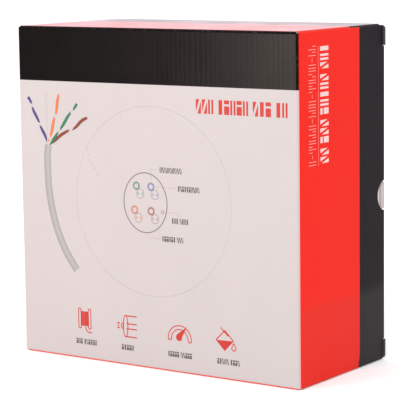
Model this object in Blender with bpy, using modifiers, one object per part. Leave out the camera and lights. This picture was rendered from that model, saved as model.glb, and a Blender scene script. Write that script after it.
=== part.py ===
"""Cable spool box: a die-cut corrugated carton that holds a spool of network cable.

The carton is a tray (front panel and four walls) with a rear lid that swings on the
left wall. The lid's tuck flap slides in behind the right wall, where a thumb notch
gives room to pull the lid's tab. Inside, two folded bridges carry a paper axle, and the spool turns
on it. A round knock-out in the front panel pulls out so that cable can be drawn.

Frame: metres, +Z up, the printed front faces -Y, origin at the middle of the base.
"""

import math

import bmesh
import bpy

MM = 0.001

# Driving sizes
WIDTH = 210 * MM
DEPTH = 99 * MM
HEIGHT = 210 * MM
BOARD = 1.6 * MM
BRIDGE_BOARD = 3.0 * MM
GAP = 0.3 * MM

# Faces of the carton, worked out from the driving sizes
SIDE_OUTER = WIDTH / 2
SIDE_INNER = SIDE_OUTER - BOARD
FLAP_OUTER = SIDE_INNER - GAP
REAR = DEPTH / 2
LID_INNER = REAR - BOARD
WALL_END = LID_INNER - GAP
TOP_INNER = HEIGHT - BOARD
CENTRE_Z = HEIGHT / 2

# Side walls stop short of the rounded folds of the top and bottom walls
RAW_EDGE_DROP = 0.9 * MM

# Knock-out disc in the front panel
KNOCKOUT_RADIUS = 58.5 * MM
KNOCKOUT_X = -1.0 * MM
KNOCKOUT_Z = 104.3 * MM
KNOCKOUT_STEPS = 72

# Thumb notch: a circle whose centre lies just behind the right wall's rim
NOTCH_RADIUS = 9.5 * MM
NOTCH_OVERHANG = 1.5 * MM
NOTCH_Z = 104 * MM

# Thumb tab of the lid, standing in the notch; the tuck flap is cut back behind it
TAB_HALF = 8.5 * MM
TAB_REACH = 104.9 * MM
TAB_CORNER = 1.0 * MM
TAB_CUT = 0.4 * MM

# Lid shoulders: the lid's corners beyond the ends of the tuck flap
SHOULDER_HEIGHT = 13.4 * MM
SHOULDER_START = 97 * MM
SHOULDER_REACH = 106 * MM
SHOULDER_DROP = 0.8 * MM
SHOULDER_CORNER = 2.5 * MM

# Lid wings and the walls' glued corner flaps
WING_DEPTH = 23 * MM
WING_START = -98 * MM
WING_END = 90 * MM
WING_TAPER = 6 * MM
CORNER_FLAP_LENGTH = 60 * MM
CORNER_FLAP_REACH = 20 * MM
CORNER_FLAP_TAPER = 10 * MM

# Tuck flap
TUCK_LENGTH = 22 * MM
TUCK_CLEARANCE = 2.0 * MM
TUCK_TAPER = 6 * MM
TUCK_LEAN = math.radians(4.5)

# Bridges
BRIDGE_WIDTH = 64 * MM
BRIDGE_FOOT_END = 20 * MM
BRIDGE_HOLE_RADIUS = 9.0 * MM

# Axle
SEAT_FLANGE = 1.2 * MM
SEAT_FLANGE_RADIUS = 20 * MM
SEAT_BORE = 6.0 * MM
SEAT_HUB_LENGTH = 12 * MM
TUBE_OUTER = 12.5 * MM
TUBE_INNER = 9.5 * MM

# Spool
SPOOL_GAP = 0.6 * MM
SPOOL_BORE = 13.0 * MM
HUB_RADIUS = 28 * MM
HUB_SPIGOT = 24.7 * MM
CORE_INNER = 25 * MM
CORE_OUTER = 28 * MM
FLANGE_RADIUS = 97 * MM
FLANGE_THICKNESS = 3.0 * MM
FLANGE_PLATE = 2.0 * MM
RIM_WIDTH = 3.0 * MM
SPIGOT_LENGTH = 10 * MM
WINDOW_COUNT = 6
WINDOW_INNER = 44 * MM
WINDOW_OUTER = 62 * MM
WINDOW_HALF_ANGLE = 15
WINDING_RADIUS = 94 * MM
WINDING_EASE = 1.5 * MM
TAPE_THICKNESS = 0.4 * MM
TAPE_WIDTH = 20 * MM
TAPE_HALF_ANGLE = 25

# Half lengths along Y, from the bridges inwards
BRIDGE_INNER = WALL_END - BRIDGE_BOARD
SEAT_OUTER = BRIDGE_INNER - GAP
SEAT_INNER = SEAT_OUTER - SEAT_FLANGE
SPOOL_HALF = SEAT_INNER - SPOOL_GAP
FLANGE_INNER = SPOOL_HALF - FLANGE_THICKNESS
CORE_HALF = FLANGE_INNER - GAP

TURNED_STEPS = 64
SHARP_ANGLE = math.radians(30)

# Rotations that stand a flat outline, drawn in local X and Y, on its edge
FACING_Z = (0, 0, 0)
FACING_Y = (math.radians(90), 0, 0)
FACING_X = (math.radians(90), 0, math.radians(90))
TURNED_ALONG_Y = (math.radians(-90), 0, 0)

# Colours
WHITE_INK = (0.80, 0.72, 0.70)
RED_INK = (0.90, 0.05, 0.03)
BLACK_INK = (0.03, 0.025, 0.027)
WHITE_LINER = (0.72, 0.69, 0.67)
KRAFT = (0.42, 0.27, 0.15)
BLACK_PLASTIC = (0.02, 0.02, 0.022)
WHITE_PLASTIC = (0.75, 0.75, 0.73)
GREY_JACKET = (0.42, 0.43, 0.42)
CLEAR_TAPE = (0.70, 0.62, 0.42)


# ---------------------------------------------------------------- scene helpers


def clear_scene():
    """Remove every object of the open file."""
    for obj in list(bpy.data.objects):
        bpy.data.objects.remove(obj, do_unlink=True)


def new_collection(name):
    """Make a collection under the scene's root collection."""
    collection = bpy.data.collections.new(name)
    bpy.context.scene.collection.children.link(collection)
    return collection


def material(name, colour, roughness):
    """A plain Principled material."""
    mat = bpy.data.materials.new(name)
    mat.use_nodes = True
    shader = mat.node_tree.nodes["Principled BSDF"]
    shader.inputs["Base Color"].default_value = (*colour, 1.0)
    shader.inputs["Roughness"].default_value = roughness
    shader.inputs["Metallic"].default_value = 0.0
    mat.diffuse_color = (*colour, 1.0)
    return mat


def axis_empty(name, location, parent=None):
    """An empty that marks a joint axis."""
    empty = bpy.data.objects.new(name, None)
    empty.empty_display_size = 0.02
    empty.location = location
    BOX.objects.link(empty)
    if parent is not None:
        attach(empty, parent)
    return empty


def attach(child, parent):
    """Parent an object and keep it where it is."""
    bpy.context.view_layer.update()
    child.parent = parent
    child.matrix_parent_inverse = parent.matrix_world.inverted()


# ---------------------------------------------------------------- outline helpers


def arc(centre, radius, start, end, steps):
    """Points on a circular arc, angles in degrees, both ends included."""
    points = []
    for step in range(steps + 1):
        angle = math.radians(start + (end - start) * step / steps)
        x = centre[0] + radius * math.cos(angle)
        y = centre[1] + radius * math.sin(angle)
        points.append((x, y))
    return points


def circle(centre, radius, steps):
    """A closed circle as a list of points."""
    return arc(centre, radius, 0, 360, steps)[:-1]


def rectangle(low, high):
    """Four corners from the lowest to the highest point."""
    return [low, (high[0], low[1]), high, (low[0], high[1])]


def mirrored(points, middle):
    """The same outline upside down about a middle height, in the same turning sense."""
    return [(x, 2 * middle - y) for x, y in reversed(points)]


# ---------------------------------------------------------------- solid helpers


def plate(name, loops, thickness, facing, position, mat):
    """A flat board: closed loops in local X and Y, thickness centred on its origin."""
    curve = bpy.data.curves.new(name, "CURVE")
    curve.dimensions = "2D"
    curve.fill_mode = "BOTH"
    curve.extrude = thickness / 2
    for loop in loops:
        spline = curve.splines.new("POLY")
        spline.points.add(len(loop) - 1)
        for point, (x, y) in zip(spline.points, loop):
            point.co = (x, y, 0, 1)
        spline.use_cyclic_u = True
    obj = bpy.data.objects.new(name, curve)
    obj.rotation_euler = facing
    obj.location = position
    curve.materials.append(mat)
    BOX.objects.link(obj)
    return obj


def turned(name, profile, facing, position, mat):
    """A closed profile of (radius, height) points turned about local Z."""
    mesh = bpy.data.meshes.new(name)
    points = [(radius, 0, height) for radius, height in profile]
    edges = [(i, (i + 1) % len(points)) for i in range(len(points))]
    mesh.from_pydata(points, edges, [])
    obj = bpy.data.objects.new(name, mesh)
    screw = obj.modifiers.new("turn", "SCREW")
    screw.axis = "Z"
    screw.steps = TURNED_STEPS
    screw.render_steps = TURNED_STEPS
    screw.use_merge_vertices = True
    screw.merge_threshold = 0.00001
    obj.rotation_euler = facing
    obj.location = position
    mesh.materials.append(mat)
    BOX.objects.link(obj)
    return obj


def made_mesh(obj):
    """Replace an object by its evaluated mesh, with a curve's loose caps welded."""
    bpy.context.view_layer.update()
    graph = bpy.context.evaluated_depsgraph_get()
    mesh = bpy.data.meshes.new_from_object(obj.evaluated_get(graph))
    work = bmesh.new()
    work.from_mesh(mesh)
    bmesh.ops.remove_doubles(work, verts=work.verts, dist=0.00001)
    work.to_mesh(mesh)
    work.free()
    name = obj.name
    matrix = obj.matrix_world.copy()
    bpy.data.objects.remove(obj, do_unlink=True)
    result = bpy.data.objects.new(name, mesh)
    result.matrix_world = matrix
    BOX.objects.link(result)
    return result


def rounded(obj):
    """The evaluated mesh of a round piece, shaded smooth between its sharp edges."""
    result = made_mesh(obj)
    result.data.shade_smooth()
    result.data.set_sharp_from_angle(angle=SHARP_ANGLE)
    return result


def cut(obj, cutter):
    """Subtract a cutter that stays in the file, hidden."""
    BOX.objects.unlink(cutter)
    CUTTERS.objects.link(cutter)
    cutter.hide_render = True
    cutter.display_type = "WIRE"
    boolean = obj.modifiers.new(cutter.name, "BOOLEAN")
    boolean.operation = "DIFFERENCE"
    boolean.solver = "EXACT"
    boolean.object = cutter


# ---------------------------------------------------------------- carton tray


def front_panel():
    """The printed front, with the hole that the knock-out leaves."""
    low = (-SIDE_OUTER, 0)
    high = (SIDE_OUTER, HEIGHT)
    hole = circle((KNOCKOUT_X, KNOCKOUT_Z), KNOCKOUT_RADIUS + GAP, KNOCKOUT_STEPS)
    loops = [rectangle(low, high), hole]
    mat = material("front_panel", WHITE_INK, 0.45)
    plate("front_panel", loops, BOARD, FACING_Y, (0, -REAR + BOARD / 2, 0), mat)


def top_and_bottom_walls():
    """Two walls, notched at the rear right corner for the lid's shoulders."""
    outline = [
        (-FLAP_OUTER, -WALL_END),
        (FLAP_OUTER, -WALL_END),
        (FLAP_OUTER, WALL_END),
        (SHOULDER_START - GAP, WALL_END),
        (SHOULDER_START - GAP, REAR),
        (-FLAP_OUTER, REAR),
    ]
    for name, z in (("top_wall", HEIGHT - BOARD / 2), ("bottom_wall", BOARD / 2)):
        mat = material(name, RED_INK, 0.35)
        plate(name, [outline], BOARD, FACING_Z, (0, 0, z), mat)


def left_wall():
    """The wall that the lid swings on; the lid covers its rear edge."""
    low = (-WALL_END, RAW_EDGE_DROP)
    high = (WALL_END, HEIGHT - RAW_EDGE_DROP)
    mat = material("left_wall", RED_INK, 0.35)
    position = (-SIDE_OUTER + BOARD / 2, 0, 0)
    plate("left_wall", [rectangle(low, high)], BOARD, FACING_X, position, mat)


def thumb_notch():
    """The notch's arc in the rear rim of the right wall, from its lower to its upper end."""
    spread = math.degrees(math.acos(NOTCH_OVERHANG / NOTCH_RADIUS))
    centre = (REAR + NOTCH_OVERHANG, NOTCH_Z)
    return arc(centre, NOTCH_RADIUS, 180 + spread, 180 - spread, 20)


def right_wall():
    """The wall in front of the tuck flap, with the thumb notch and low shoulder rests."""
    top = HEIGHT - RAW_EDGE_DROP
    outline = [
        (-WALL_END, RAW_EDGE_DROP),
        (WALL_END, RAW_EDGE_DROP),
        (WALL_END, SHOULDER_HEIGHT),
        (REAR, SHOULDER_HEIGHT),
        *thumb_notch(),
        (REAR, HEIGHT - SHOULDER_HEIGHT),
        (WALL_END, HEIGHT - SHOULDER_HEIGHT),
        (WALL_END, top),
        (-WALL_END, top),
    ]
    mat = material("right_wall", RED_INK, 0.35)
    position = (SIDE_OUTER - BOARD / 2, 0, 0)
    plate("right_wall", [outline], BOARD, FACING_X, position, mat)


def corner_flaps():
    """Four flaps of the top and bottom walls, glued inside the side walls."""
    root = TOP_INNER - GAP
    tip = root - CORNER_FLAP_LENGTH
    upper = [
        (-WALL_END + GAP, root),
        (-WALL_END + GAP, tip),
        (CORNER_FLAP_REACH - CORNER_FLAP_TAPER, tip),
        (CORNER_FLAP_REACH, tip + CORNER_FLAP_TAPER),
        (CORNER_FLAP_REACH, root),
    ]
    levels = (("top", upper), ("bottom", mirrored(upper, CENTRE_Z)))
    for side, sign in (("left", -1), ("right", 1)):
        x = sign * (FLAP_OUTER - BOARD / 2)
        for level, outline in levels:
            name = f"corner_flap_{level}_{side}"
            mat = material(name, WHITE_LINER, 0.7)
            plate(name, [outline], BOARD, FACING_X, (x, 0, 0), mat)


# ---------------------------------------------------------------- knock-out


def knockout_disc():
    """The perforated disc that pulls out of the front panel."""
    axis = axis_empty("knockout_axis", (KNOCKOUT_X, -REAR, KNOCKOUT_Z))
    loop = circle((0, 0), KNOCKOUT_RADIUS, KNOCKOUT_STEPS)
    mat = material("knockout_disc", WHITE_INK, 0.45)
    position = (KNOCKOUT_X, -REAR + BOARD / 2, KNOCKOUT_Z)
    disc = plate("knockout_disc", [loop], BOARD, FACING_Y, position, mat)
    attach(disc, axis)


# ---------------------------------------------------------------- axle and bridges


def bridge(name, side, clearance):
    """A folded strip across the carton: a web behind a panel and two feet.

    side is -1 at the front and +1 at the rear; clearance is its distance from the
    outer faces of the top and bottom walls.
    """
    top = HEIGHT - clearance
    web_outer = side * WALL_END
    web_inner = side * BRIDGE_INNER
    foot_end = side * BRIDGE_FOOT_END
    outline = [
        (web_outer, clearance),
        (foot_end, clearance),
        (foot_end, clearance + BRIDGE_BOARD),
        (web_inner, clearance + BRIDGE_BOARD),
        (web_inner, top - BRIDGE_BOARD),
        (foot_end, top - BRIDGE_BOARD),
        (foot_end, top),
        (web_outer, top),
    ]
    mat = material(name, KRAFT, 0.8)
    strip = plate(name, [outline], BRIDGE_WIDTH, FACING_X, (0, 0, 0), mat)
    strip = made_mesh(strip)
    hole = circle((0, 0), BRIDGE_HOLE_RADIUS, 32)
    middle = side * (WALL_END + BRIDGE_INNER) / 2
    cutter = plate(f"{name}_hole", [hole], 3 * BRIDGE_BOARD, FACING_Y, (0, middle, CENTRE_Z), mat)
    cut(strip, made_mesh(cutter))


def bridges():
    """The rear bridge clears the lid's wings as well as the walls."""
    front_clearance = BOARD + GAP
    rear_clearance = 2 * (BOARD + GAP)
    bridge("front_bridge", -1, front_clearance)
    bridge("rear_bridge", 1, rear_clearance)


def axle_seats():
    """A flanged plastic ring in each bridge, whose hub enters the axle tube."""
    spigot_end = WALL_END - GAP
    hub_end = SEAT_INNER - SEAT_HUB_LENGTH
    profile = [
        (SEAT_BORE, spigot_end),
        (BRIDGE_HOLE_RADIUS - GAP, spigot_end),
        (BRIDGE_HOLE_RADIUS - GAP, SEAT_OUTER),
        (SEAT_FLANGE_RADIUS, SEAT_OUTER),
        (SEAT_FLANGE_RADIUS, SEAT_INNER),
        (TUBE_INNER - GAP, SEAT_INNER),
        (TUBE_INNER - GAP, hub_end),
        (SEAT_BORE, hub_end),
    ]
    for name, facing in (("axle_seat_front", FACING_Y), ("axle_seat_rear", TURNED_ALONG_Y)):
        mat = material(name, WHITE_PLASTIC, 0.5)
        rounded(turned(name, profile, facing, (0, 0, CENTRE_Z), mat))


def axle_tube():
    """The paper tube between the two seats."""
    half = SEAT_INNER - GAP
    profile = [
        (TUBE_INNER, half),
        (TUBE_OUTER, half),
        (TUBE_OUTER, -half),
        (TUBE_INNER, -half),
    ]
    mat = material("axle_tube", KRAFT, 0.8)
    rounded(turned("axle_tube", profile, TURNED_ALONG_Y, (0, 0, CENTRE_Z), mat))


# ---------------------------------------------------------------- spool


def window_outline(middle):
    """A kidney-shaped window about the spool's centre, at an angle in degrees."""
    start = middle - WINDOW_HALF_ANGLE
    end = middle + WINDOW_HALF_ANGLE
    mid_radius = (WINDOW_INNER + WINDOW_OUTER) / 2
    end_radius = (WINDOW_OUTER - WINDOW_INNER) / 2
    centre_start = arc((0, 0), mid_radius, start, start, 1)[0]
    centre_end = arc((0, 0), mid_radius, end, end, 1)[0]
    return [
        *arc((0, 0), WINDOW_OUTER, start, end, 8),
        *arc(centre_end, end_radius, end, end + 180, 8)[1:-1],
        *arc((0, 0), WINDOW_INNER, end, start, 8),
        *arc(centre_start, end_radius, start + 180, start + 360, 8)[1:-1],
    ]


def window_cutter(name, y):
    """All windows of one flange as one hidden cutter."""
    loops = [window_outline(360 * i / WINDOW_COUNT) for i in range(WINDOW_COUNT)]
    mat = material(name, BLACK_PLASTIC, 0.5)
    cutter = plate(name, loops, 4 * FLANGE_THICKNESS, FACING_Y, (0, y, CENTRE_Z), mat)
    return made_mesh(cutter)


def spool_flange(name, side, axis):
    """A plastic flange with a rim bead, a hub boss, a spigot and windows."""
    plate_outer = FLANGE_INNER + FLANGE_PLATE
    profile = [
        (SPOOL_BORE, SPOOL_HALF),
        (HUB_RADIUS, SPOOL_HALF),
        (HUB_RADIUS, plate_outer),
        (FLANGE_RADIUS - RIM_WIDTH, plate_outer),
        (FLANGE_RADIUS - RIM_WIDTH, SPOOL_HALF),
        (FLANGE_RADIUS, SPOOL_HALF),
        (FLANGE_RADIUS, FLANGE_INNER),
        (HUB_SPIGOT, FLANGE_INNER),
        (HUB_SPIGOT, FLANGE_INNER - SPIGOT_LENGTH),
        (SPOOL_BORE, FLANGE_INNER - SPIGOT_LENGTH),
    ]
    mat = material(name, BLACK_PLASTIC, 0.45)
    facing = FACING_Y if side < 0 else TURNED_ALONG_Y
    flange = turned(name, profile, facing, (0, 0, CENTRE_Z), mat)
    cut(flange, window_cutter(f"{name}_windows", side * FLANGE_INNER))
    attach(rounded(flange), axis)


def core_tube(axis):
    """The paper core that the cable is wound on."""
    profile = [
        (CORE_INNER, CORE_HALF),
        (CORE_OUTER, CORE_HALF),
        (CORE_OUTER, -CORE_HALF),
        (CORE_INNER, -CORE_HALF),
    ]
    mat = material("core_tube", KRAFT, 0.8)
    tube = turned("core_tube", profile, TURNED_ALONG_Y, (0, 0, CENTRE_Z), mat)
    attach(rounded(tube), axis)


def cable_winding(axis):
    """The wound cable as one solid pack with eased outer edges."""
    inner = CORE_OUTER + GAP
    profile = [
        (inner, CORE_HALF),
        (WINDING_RADIUS - WINDING_EASE, CORE_HALF),
        (WINDING_RADIUS, CORE_HALF - WINDING_EASE),
        (WINDING_RADIUS, -CORE_HALF + WINDING_EASE),
        (WINDING_RADIUS - WINDING_EASE, -CORE_HALF),
        (inner, -CORE_HALF),
    ]
    mat = material("cable_winding", GREY_JACKET, 0.5)
    pack = turned("cable_winding", profile, TURNED_ALONG_Y, (0, 0, CENTRE_Z), mat)
    attach(rounded(pack), axis)


def end_tape(axis):
    """A strip of tape over the cable's outer end."""
    inner = WINDING_RADIUS + GAP
    outer = inner + TAPE_THICKNESS
    start = 90 - TAPE_HALF_ANGLE
    end = 90 + TAPE_HALF_ANGLE
    loop = arc((0, 0), outer, start, end, 12) + arc((0, 0), inner, end, start, 12)
    mat = material("end_tape", CLEAR_TAPE, 0.2)
    tape = plate("end_tape", [loop], TAPE_WIDTH, FACING_Y, (0, 0, CENTRE_Z), mat)
    attach(tape, axis)


def spool():
    """Everything that turns on the axle tube."""
    axis = axis_empty("spool_axis", (0, 0, CENTRE_Z))
    spool_flange("flange_front", -1, axis)
    spool_flange("flange_rear", 1, axis)
    core_tube(axis)
    cable_winding(axis)
    end_tape(axis)


# ---------------------------------------------------------------- lid


def thumb_tab():
    """The tab that the lid keeps between the two lengths of the tuck flap's crease."""
    low = (TAB_REACH - TAB_CORNER, NOTCH_Z - TAB_HALF + TAB_CORNER)
    high = (TAB_REACH - TAB_CORNER, NOTCH_Z + TAB_HALF - TAB_CORNER)
    return [
        (FLAP_OUTER, NOTCH_Z - TAB_HALF),
        *arc(low, TAB_CORNER, -90, 0, 4),
        *arc(high, TAB_CORNER, 0, 90, 4),
        (FLAP_OUTER, NOTCH_Z + TAB_HALF),
    ]


def lid_panel(hinge):
    """The rear lid, with a shoulder above and below the tuck flap and a thumb tab."""
    shoulder_top = SHOULDER_HEIGHT - GAP
    corner = (SHOULDER_REACH - SHOULDER_CORNER, SHOULDER_DROP + SHOULDER_CORNER)
    lower = [
        (-SIDE_OUTER, BOARD + GAP),
        (SHOULDER_START, BOARD + GAP),
        (SHOULDER_START, SHOULDER_DROP),
        *arc(corner, SHOULDER_CORNER, -90, 0, 6),
        (SHOULDER_REACH, shoulder_top),
        (FLAP_OUTER, shoulder_top),
    ]
    outline = lower + thumb_tab() + mirrored(lower, CENTRE_Z)
    mat = material("lid_panel", BLACK_INK, 0.35)
    panel = plate("lid_panel", [outline], BOARD, FACING_Y, (0, REAR - BOARD / 2, 0), mat)
    attach(panel, hinge)


def lid_wings(hinge):
    """Two flaps folded in from the lid's upper and lower edges."""
    root = LID_INNER - GAP
    tip = root - WING_DEPTH
    outline = [
        (WING_START, root),
        (WING_START + WING_TAPER, tip),
        (WING_END - WING_TAPER, tip),
        (WING_END, root),
    ]
    upper = TOP_INNER - GAP - BOARD / 2
    for name, z in (("wing_top", upper), ("wing_bottom", HEIGHT - upper)):
        mat = material(name, WHITE_LINER, 0.7)
        wing = plate(name, [outline], BOARD, FACING_Z, (0, 0, z), mat)
        attach(wing, hinge)


def tab_cut_out():
    """The shallow cut in the tuck flap's root that the lid's tab came out of."""
    bottom = TUCK_CLEARANCE + TAB_CUT
    low = NOTCH_Z - CENTRE_Z - TAB_HALF - GAP
    high = NOTCH_Z - CENTRE_Z + TAB_HALF + GAP
    return [(TUCK_CLEARANCE, low), (bottom, low), (bottom, high), (TUCK_CLEARANCE, high)]


def tuck_flap(hinge):
    """The flap that slides in behind the right wall, leaning slightly inwards."""
    fold = axis_empty("tuck_fold_axis", (FLAP_OUTER, REAR, CENTRE_Z), hinge)
    half_root = CENTRE_Z - SHOULDER_HEIGHT - GAP
    half_tip = half_root - TUCK_TAPER
    corner = TUCK_TAPER
    upper = [
        (TUCK_CLEARANCE, half_root),
        (TUCK_LENGTH - corner, half_tip + corner / 2),
        *arc((TUCK_LENGTH - corner, half_tip - corner / 2), corner, 60, 0, 4),
    ]
    outline = upper + mirrored(upper, 0) + tab_cut_out()
    facing = (math.radians(90), 0, -math.radians(90) - TUCK_LEAN)
    inward = (-math.cos(TUCK_LEAN), math.sin(TUCK_LEAN))
    x = FLAP_OUTER + inward[0] * BOARD / 2
    y = REAR + inward[1] * BOARD / 2
    mat = material("tuck_flap", WHITE_LINER, 0.6)
    flap = plate("tuck_flap", [outline], BOARD, facing, (x, y, CENTRE_Z), mat)
    attach(flap, fold)


def lid():
    """The lid swings on the outer edge of the left wall."""
    hinge = axis_empty("lid_hinge_axis", (-SIDE_OUTER, REAR, CENTRE_Z))
    lid_panel(hinge)
    lid_wings(hinge)
    tuck_flap(hinge)


clear_scene()
BOX = new_collection("cable_spool_box")
CUTTERS = new_collection("cutters")
front_panel()
top_and_bottom_walls()
left_wall()
right_wall()
corner_flaps()
knockout_disc()
bridges()
axle_seats()
axle_tube()
spool()
lid()
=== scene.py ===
"""Looks of the cable spool box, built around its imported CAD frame.

The carton's boards are real corrugated boards here: two liners with a wavy medium
between them, rounded creases, and the print as thin layers of ink. The spool, its
cable and its axle are detailed inside. Metres, +Z up, the printed front faces -Y.
"""

import math
import random

import bmesh
import bpy
from mathutils import Matrix, Vector
from mathutils.geometry import tessellate_polygon
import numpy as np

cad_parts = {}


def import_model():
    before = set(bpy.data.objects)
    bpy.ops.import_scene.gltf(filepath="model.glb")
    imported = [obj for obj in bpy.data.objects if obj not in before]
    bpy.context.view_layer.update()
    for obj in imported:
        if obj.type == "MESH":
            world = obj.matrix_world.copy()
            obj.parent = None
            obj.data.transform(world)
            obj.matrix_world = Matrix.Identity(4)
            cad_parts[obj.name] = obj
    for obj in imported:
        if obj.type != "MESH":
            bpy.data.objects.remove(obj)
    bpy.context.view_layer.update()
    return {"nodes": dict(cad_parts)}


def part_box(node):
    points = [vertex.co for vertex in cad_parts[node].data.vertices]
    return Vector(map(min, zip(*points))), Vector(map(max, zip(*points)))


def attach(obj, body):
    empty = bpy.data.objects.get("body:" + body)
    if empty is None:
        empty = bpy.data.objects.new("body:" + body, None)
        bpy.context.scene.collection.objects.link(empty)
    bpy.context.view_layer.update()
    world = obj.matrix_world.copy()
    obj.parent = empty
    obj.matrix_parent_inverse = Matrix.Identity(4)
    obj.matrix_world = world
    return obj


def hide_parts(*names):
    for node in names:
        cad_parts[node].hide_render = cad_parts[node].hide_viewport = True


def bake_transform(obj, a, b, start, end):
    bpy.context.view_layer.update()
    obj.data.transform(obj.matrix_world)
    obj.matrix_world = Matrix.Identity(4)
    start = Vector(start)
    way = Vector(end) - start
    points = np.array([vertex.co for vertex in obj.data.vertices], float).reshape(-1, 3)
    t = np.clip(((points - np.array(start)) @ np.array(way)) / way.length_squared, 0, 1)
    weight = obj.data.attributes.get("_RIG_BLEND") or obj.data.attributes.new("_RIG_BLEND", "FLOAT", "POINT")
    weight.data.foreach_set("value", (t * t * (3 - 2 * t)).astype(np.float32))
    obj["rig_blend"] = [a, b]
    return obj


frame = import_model()

MM = 0.001

# ---------------------------------------------------------------- places read from the frame

front_low, front_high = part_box("front_panel")
side_low, side_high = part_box("right_wall")
lid_low, lid_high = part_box("lid_panel")
tuck_low, tuck_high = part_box("tuck_flap")
flap_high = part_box("corner_flap_top_right")[1]
wing_low, wing_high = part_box("wing_top")
disc_low, disc_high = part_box("knockout_disc")
bridge_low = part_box("front_bridge")[0]
seat_low, seat_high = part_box("axle_seat_front")
core_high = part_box("core_tube")[1]
winding_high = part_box("cable_winding")[1]
tape_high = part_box("end_tape")[1]

LEFT = front_low.x
RIGHT = front_high.x
FRONT = front_low.y
REAR = lid_high.y
BASE = front_low.z
TOP = front_high.z
BOARD = front_high.y - front_low.y
GAP = side_low.y - front_high.y
TURN = BOARD + GAP  # outer radius of every crease
MIDDLE = Vector((0, 0, (BASE + TOP) / 2))
FLAP_X = flap_high.x  # outer face of what is folded in behind a side wall
WALL_LOW = side_low.z
WALL_HIGH = side_high.z
WALL_END = lid_low.y - GAP
KNOCKOUT_RADIUS = (disc_high.x - disc_low.x) / 2
KNOCKOUT_CENTRE = ((disc_low.x + disc_high.x) / 2, (disc_low.z + disc_high.z) / 2)

# ---------------------------------------------------------------- board and print sizes

SKIN = 0.05 * MM  # the board's printed face lies this far inside the CAD face
LINER = 0.25 * MM
SHEET = 0.16 * MM
PITCH = 3.6 * MM
BRIDGE_PITCH = 6.4 * MM
INK_LOW = -0.06 * MM
INK_HIGH = -0.01 * MM
INK_STEP = 0.004 * MM

BAND_HEIGHT = 33.7 * MM
BAND_SKEW = 0.65 * MM  # the band is that much deeper at its left end
SIDE_SPLIT = FRONT + 68.9 * MM  # red in front of it, black behind
TOP_SPLIT = FRONT + 62 * MM
SPLIT_BEND = 1.8 * MM
SPLIT_BEND_HEIGHT = 9 * MM

SHOULDER = 13.4 * MM
SHOULDER_START = 97 * MM
SHOULDER_CORNER = 2.5 * MM
NOTCH_RADIUS = 9.5 * MM
NOTCH_OVERHANG = 1.5 * MM
NOTCH_Z = 104 * MM
TAB_HALF = 8.5 * MM
TAB_REACH = 104.9 * MM
TAB_CORNER = 1.0 * MM
TAB_CUT = 0.4 * MM  # depth of the tuck flap's cut behind the tab
LEAN = math.radians(4.5)  # of the tuck flap, inwards

# Perforation of the knock-out: how many cuts, how much of each step is cut, and how wide
CUT_COUNT = 150
CUT_SHARE = 0.34
CUT_WIDTH = 0.2 * MM

BRIDGE_BOARD = 3.0 * MM
BRIDGE_TURN = BRIDGE_BOARD + GAP
BRIDGE_HOLE = 9.0 * MM

EDGE = 0.1 * MM  # thickness of ink pressed round a cut edge
PRESSED = 0.9 * MM  # how far it reaches over the edge
# below these heights the walls' inks take their foot colours, a painted reflection of the bright floor
FLOOR_REFLECTION_FADE = (43 * MM, 51 * MM)  # between these heights the ink changes to its foot colour

random.seed(5)


# ---------------------------------------------------------------- materials


def new_look(name, roughness, **sockets):
    """A Principled material; sockets are its own values, with _ for a space."""
    mat = bpy.data.materials.new(name)
    mat.use_nodes = True
    shader = mat.node_tree.nodes["Principled BSDF"]
    shader.inputs["Roughness"].default_value = roughness
    for label, value in sockets.items():
        shader.inputs[label.replace("_", " ")].default_value = value
    return mat, mat.node_tree, shader


def add_node(tree, kind, values=(), links=(), **settings):
    """A node with socket values and incoming links given as (socket, value) pairs."""
    node = tree.nodes.new(kind)
    for key, value in settings.items():
        setattr(node, key, value)
    for socket, value in values:
        node.inputs[socket].default_value = value
    for socket, source in links:
        tree.links.new(source, node.inputs[socket])
    return node


def object_coords(tree):
    """Positions in the object's own space, which is the row frame at rest."""
    return add_node(tree, "ShaderNodeTexCoord").outputs["Object"]


def noise(tree, coords, scale, detail=2.0, roughness=0.5):
    """A noise value from 0 to 1; scale is in cells per metre."""
    values = (("Scale", scale), ("Detail", detail), ("Roughness", roughness))
    node = add_node(tree, "ShaderNodeTexNoise", values, [("Vector", coords)])
    return node.outputs["Fac"]


def maths(tree, operation, *terms):
    """A Math node on numbers or sockets."""
    node = add_node(tree, "ShaderNodeMath", operation=operation)
    for index, term in enumerate(terms):
        if isinstance(term, (int, float)):
            node.inputs[index].default_value = term
        else:
            tree.links.new(term, node.inputs[index])
    return node.outputs[0]


def remap(tree, value, low, high, out_low, out_high):
    """A clamped linear map of a value."""
    values = ((1, low), (2, high), (3, out_low), (4, out_high))
    node = add_node(tree, "ShaderNodeMapRange", values, [(0, value)], clamp=True)
    return node.outputs[0]


def mix(tree, factor, first, second):
    """A colour between two colours or sockets."""
    node = add_node(tree, "ShaderNodeMix", data_type="RGBA")
    for socket, term in ((0, factor), (6, first), (7, second)):
        if isinstance(term, (int, float)):
            node.inputs[socket].default_value = term
        elif isinstance(term, tuple):
            node.inputs[socket].default_value = (*term, 1.0)
        else:
            tree.links.new(term, node.inputs[socket])
    return node.outputs[2]


def bump(tree, height, distance, before=None):
    """A bump of real height, in metres, on top of another one."""
    links = [("Height", height)]
    if before is not None:
        links.append(("Normal", before))
    values = (("Strength", 1.0), ("Distance", distance))
    return add_node(tree, "ShaderNodeBump", values, links).outputs["Normal"]


def scaled(colour, factor):
    """A colour made lighter or darker."""
    return tuple(min(1.0, channel * factor) for channel in colour)


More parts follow.
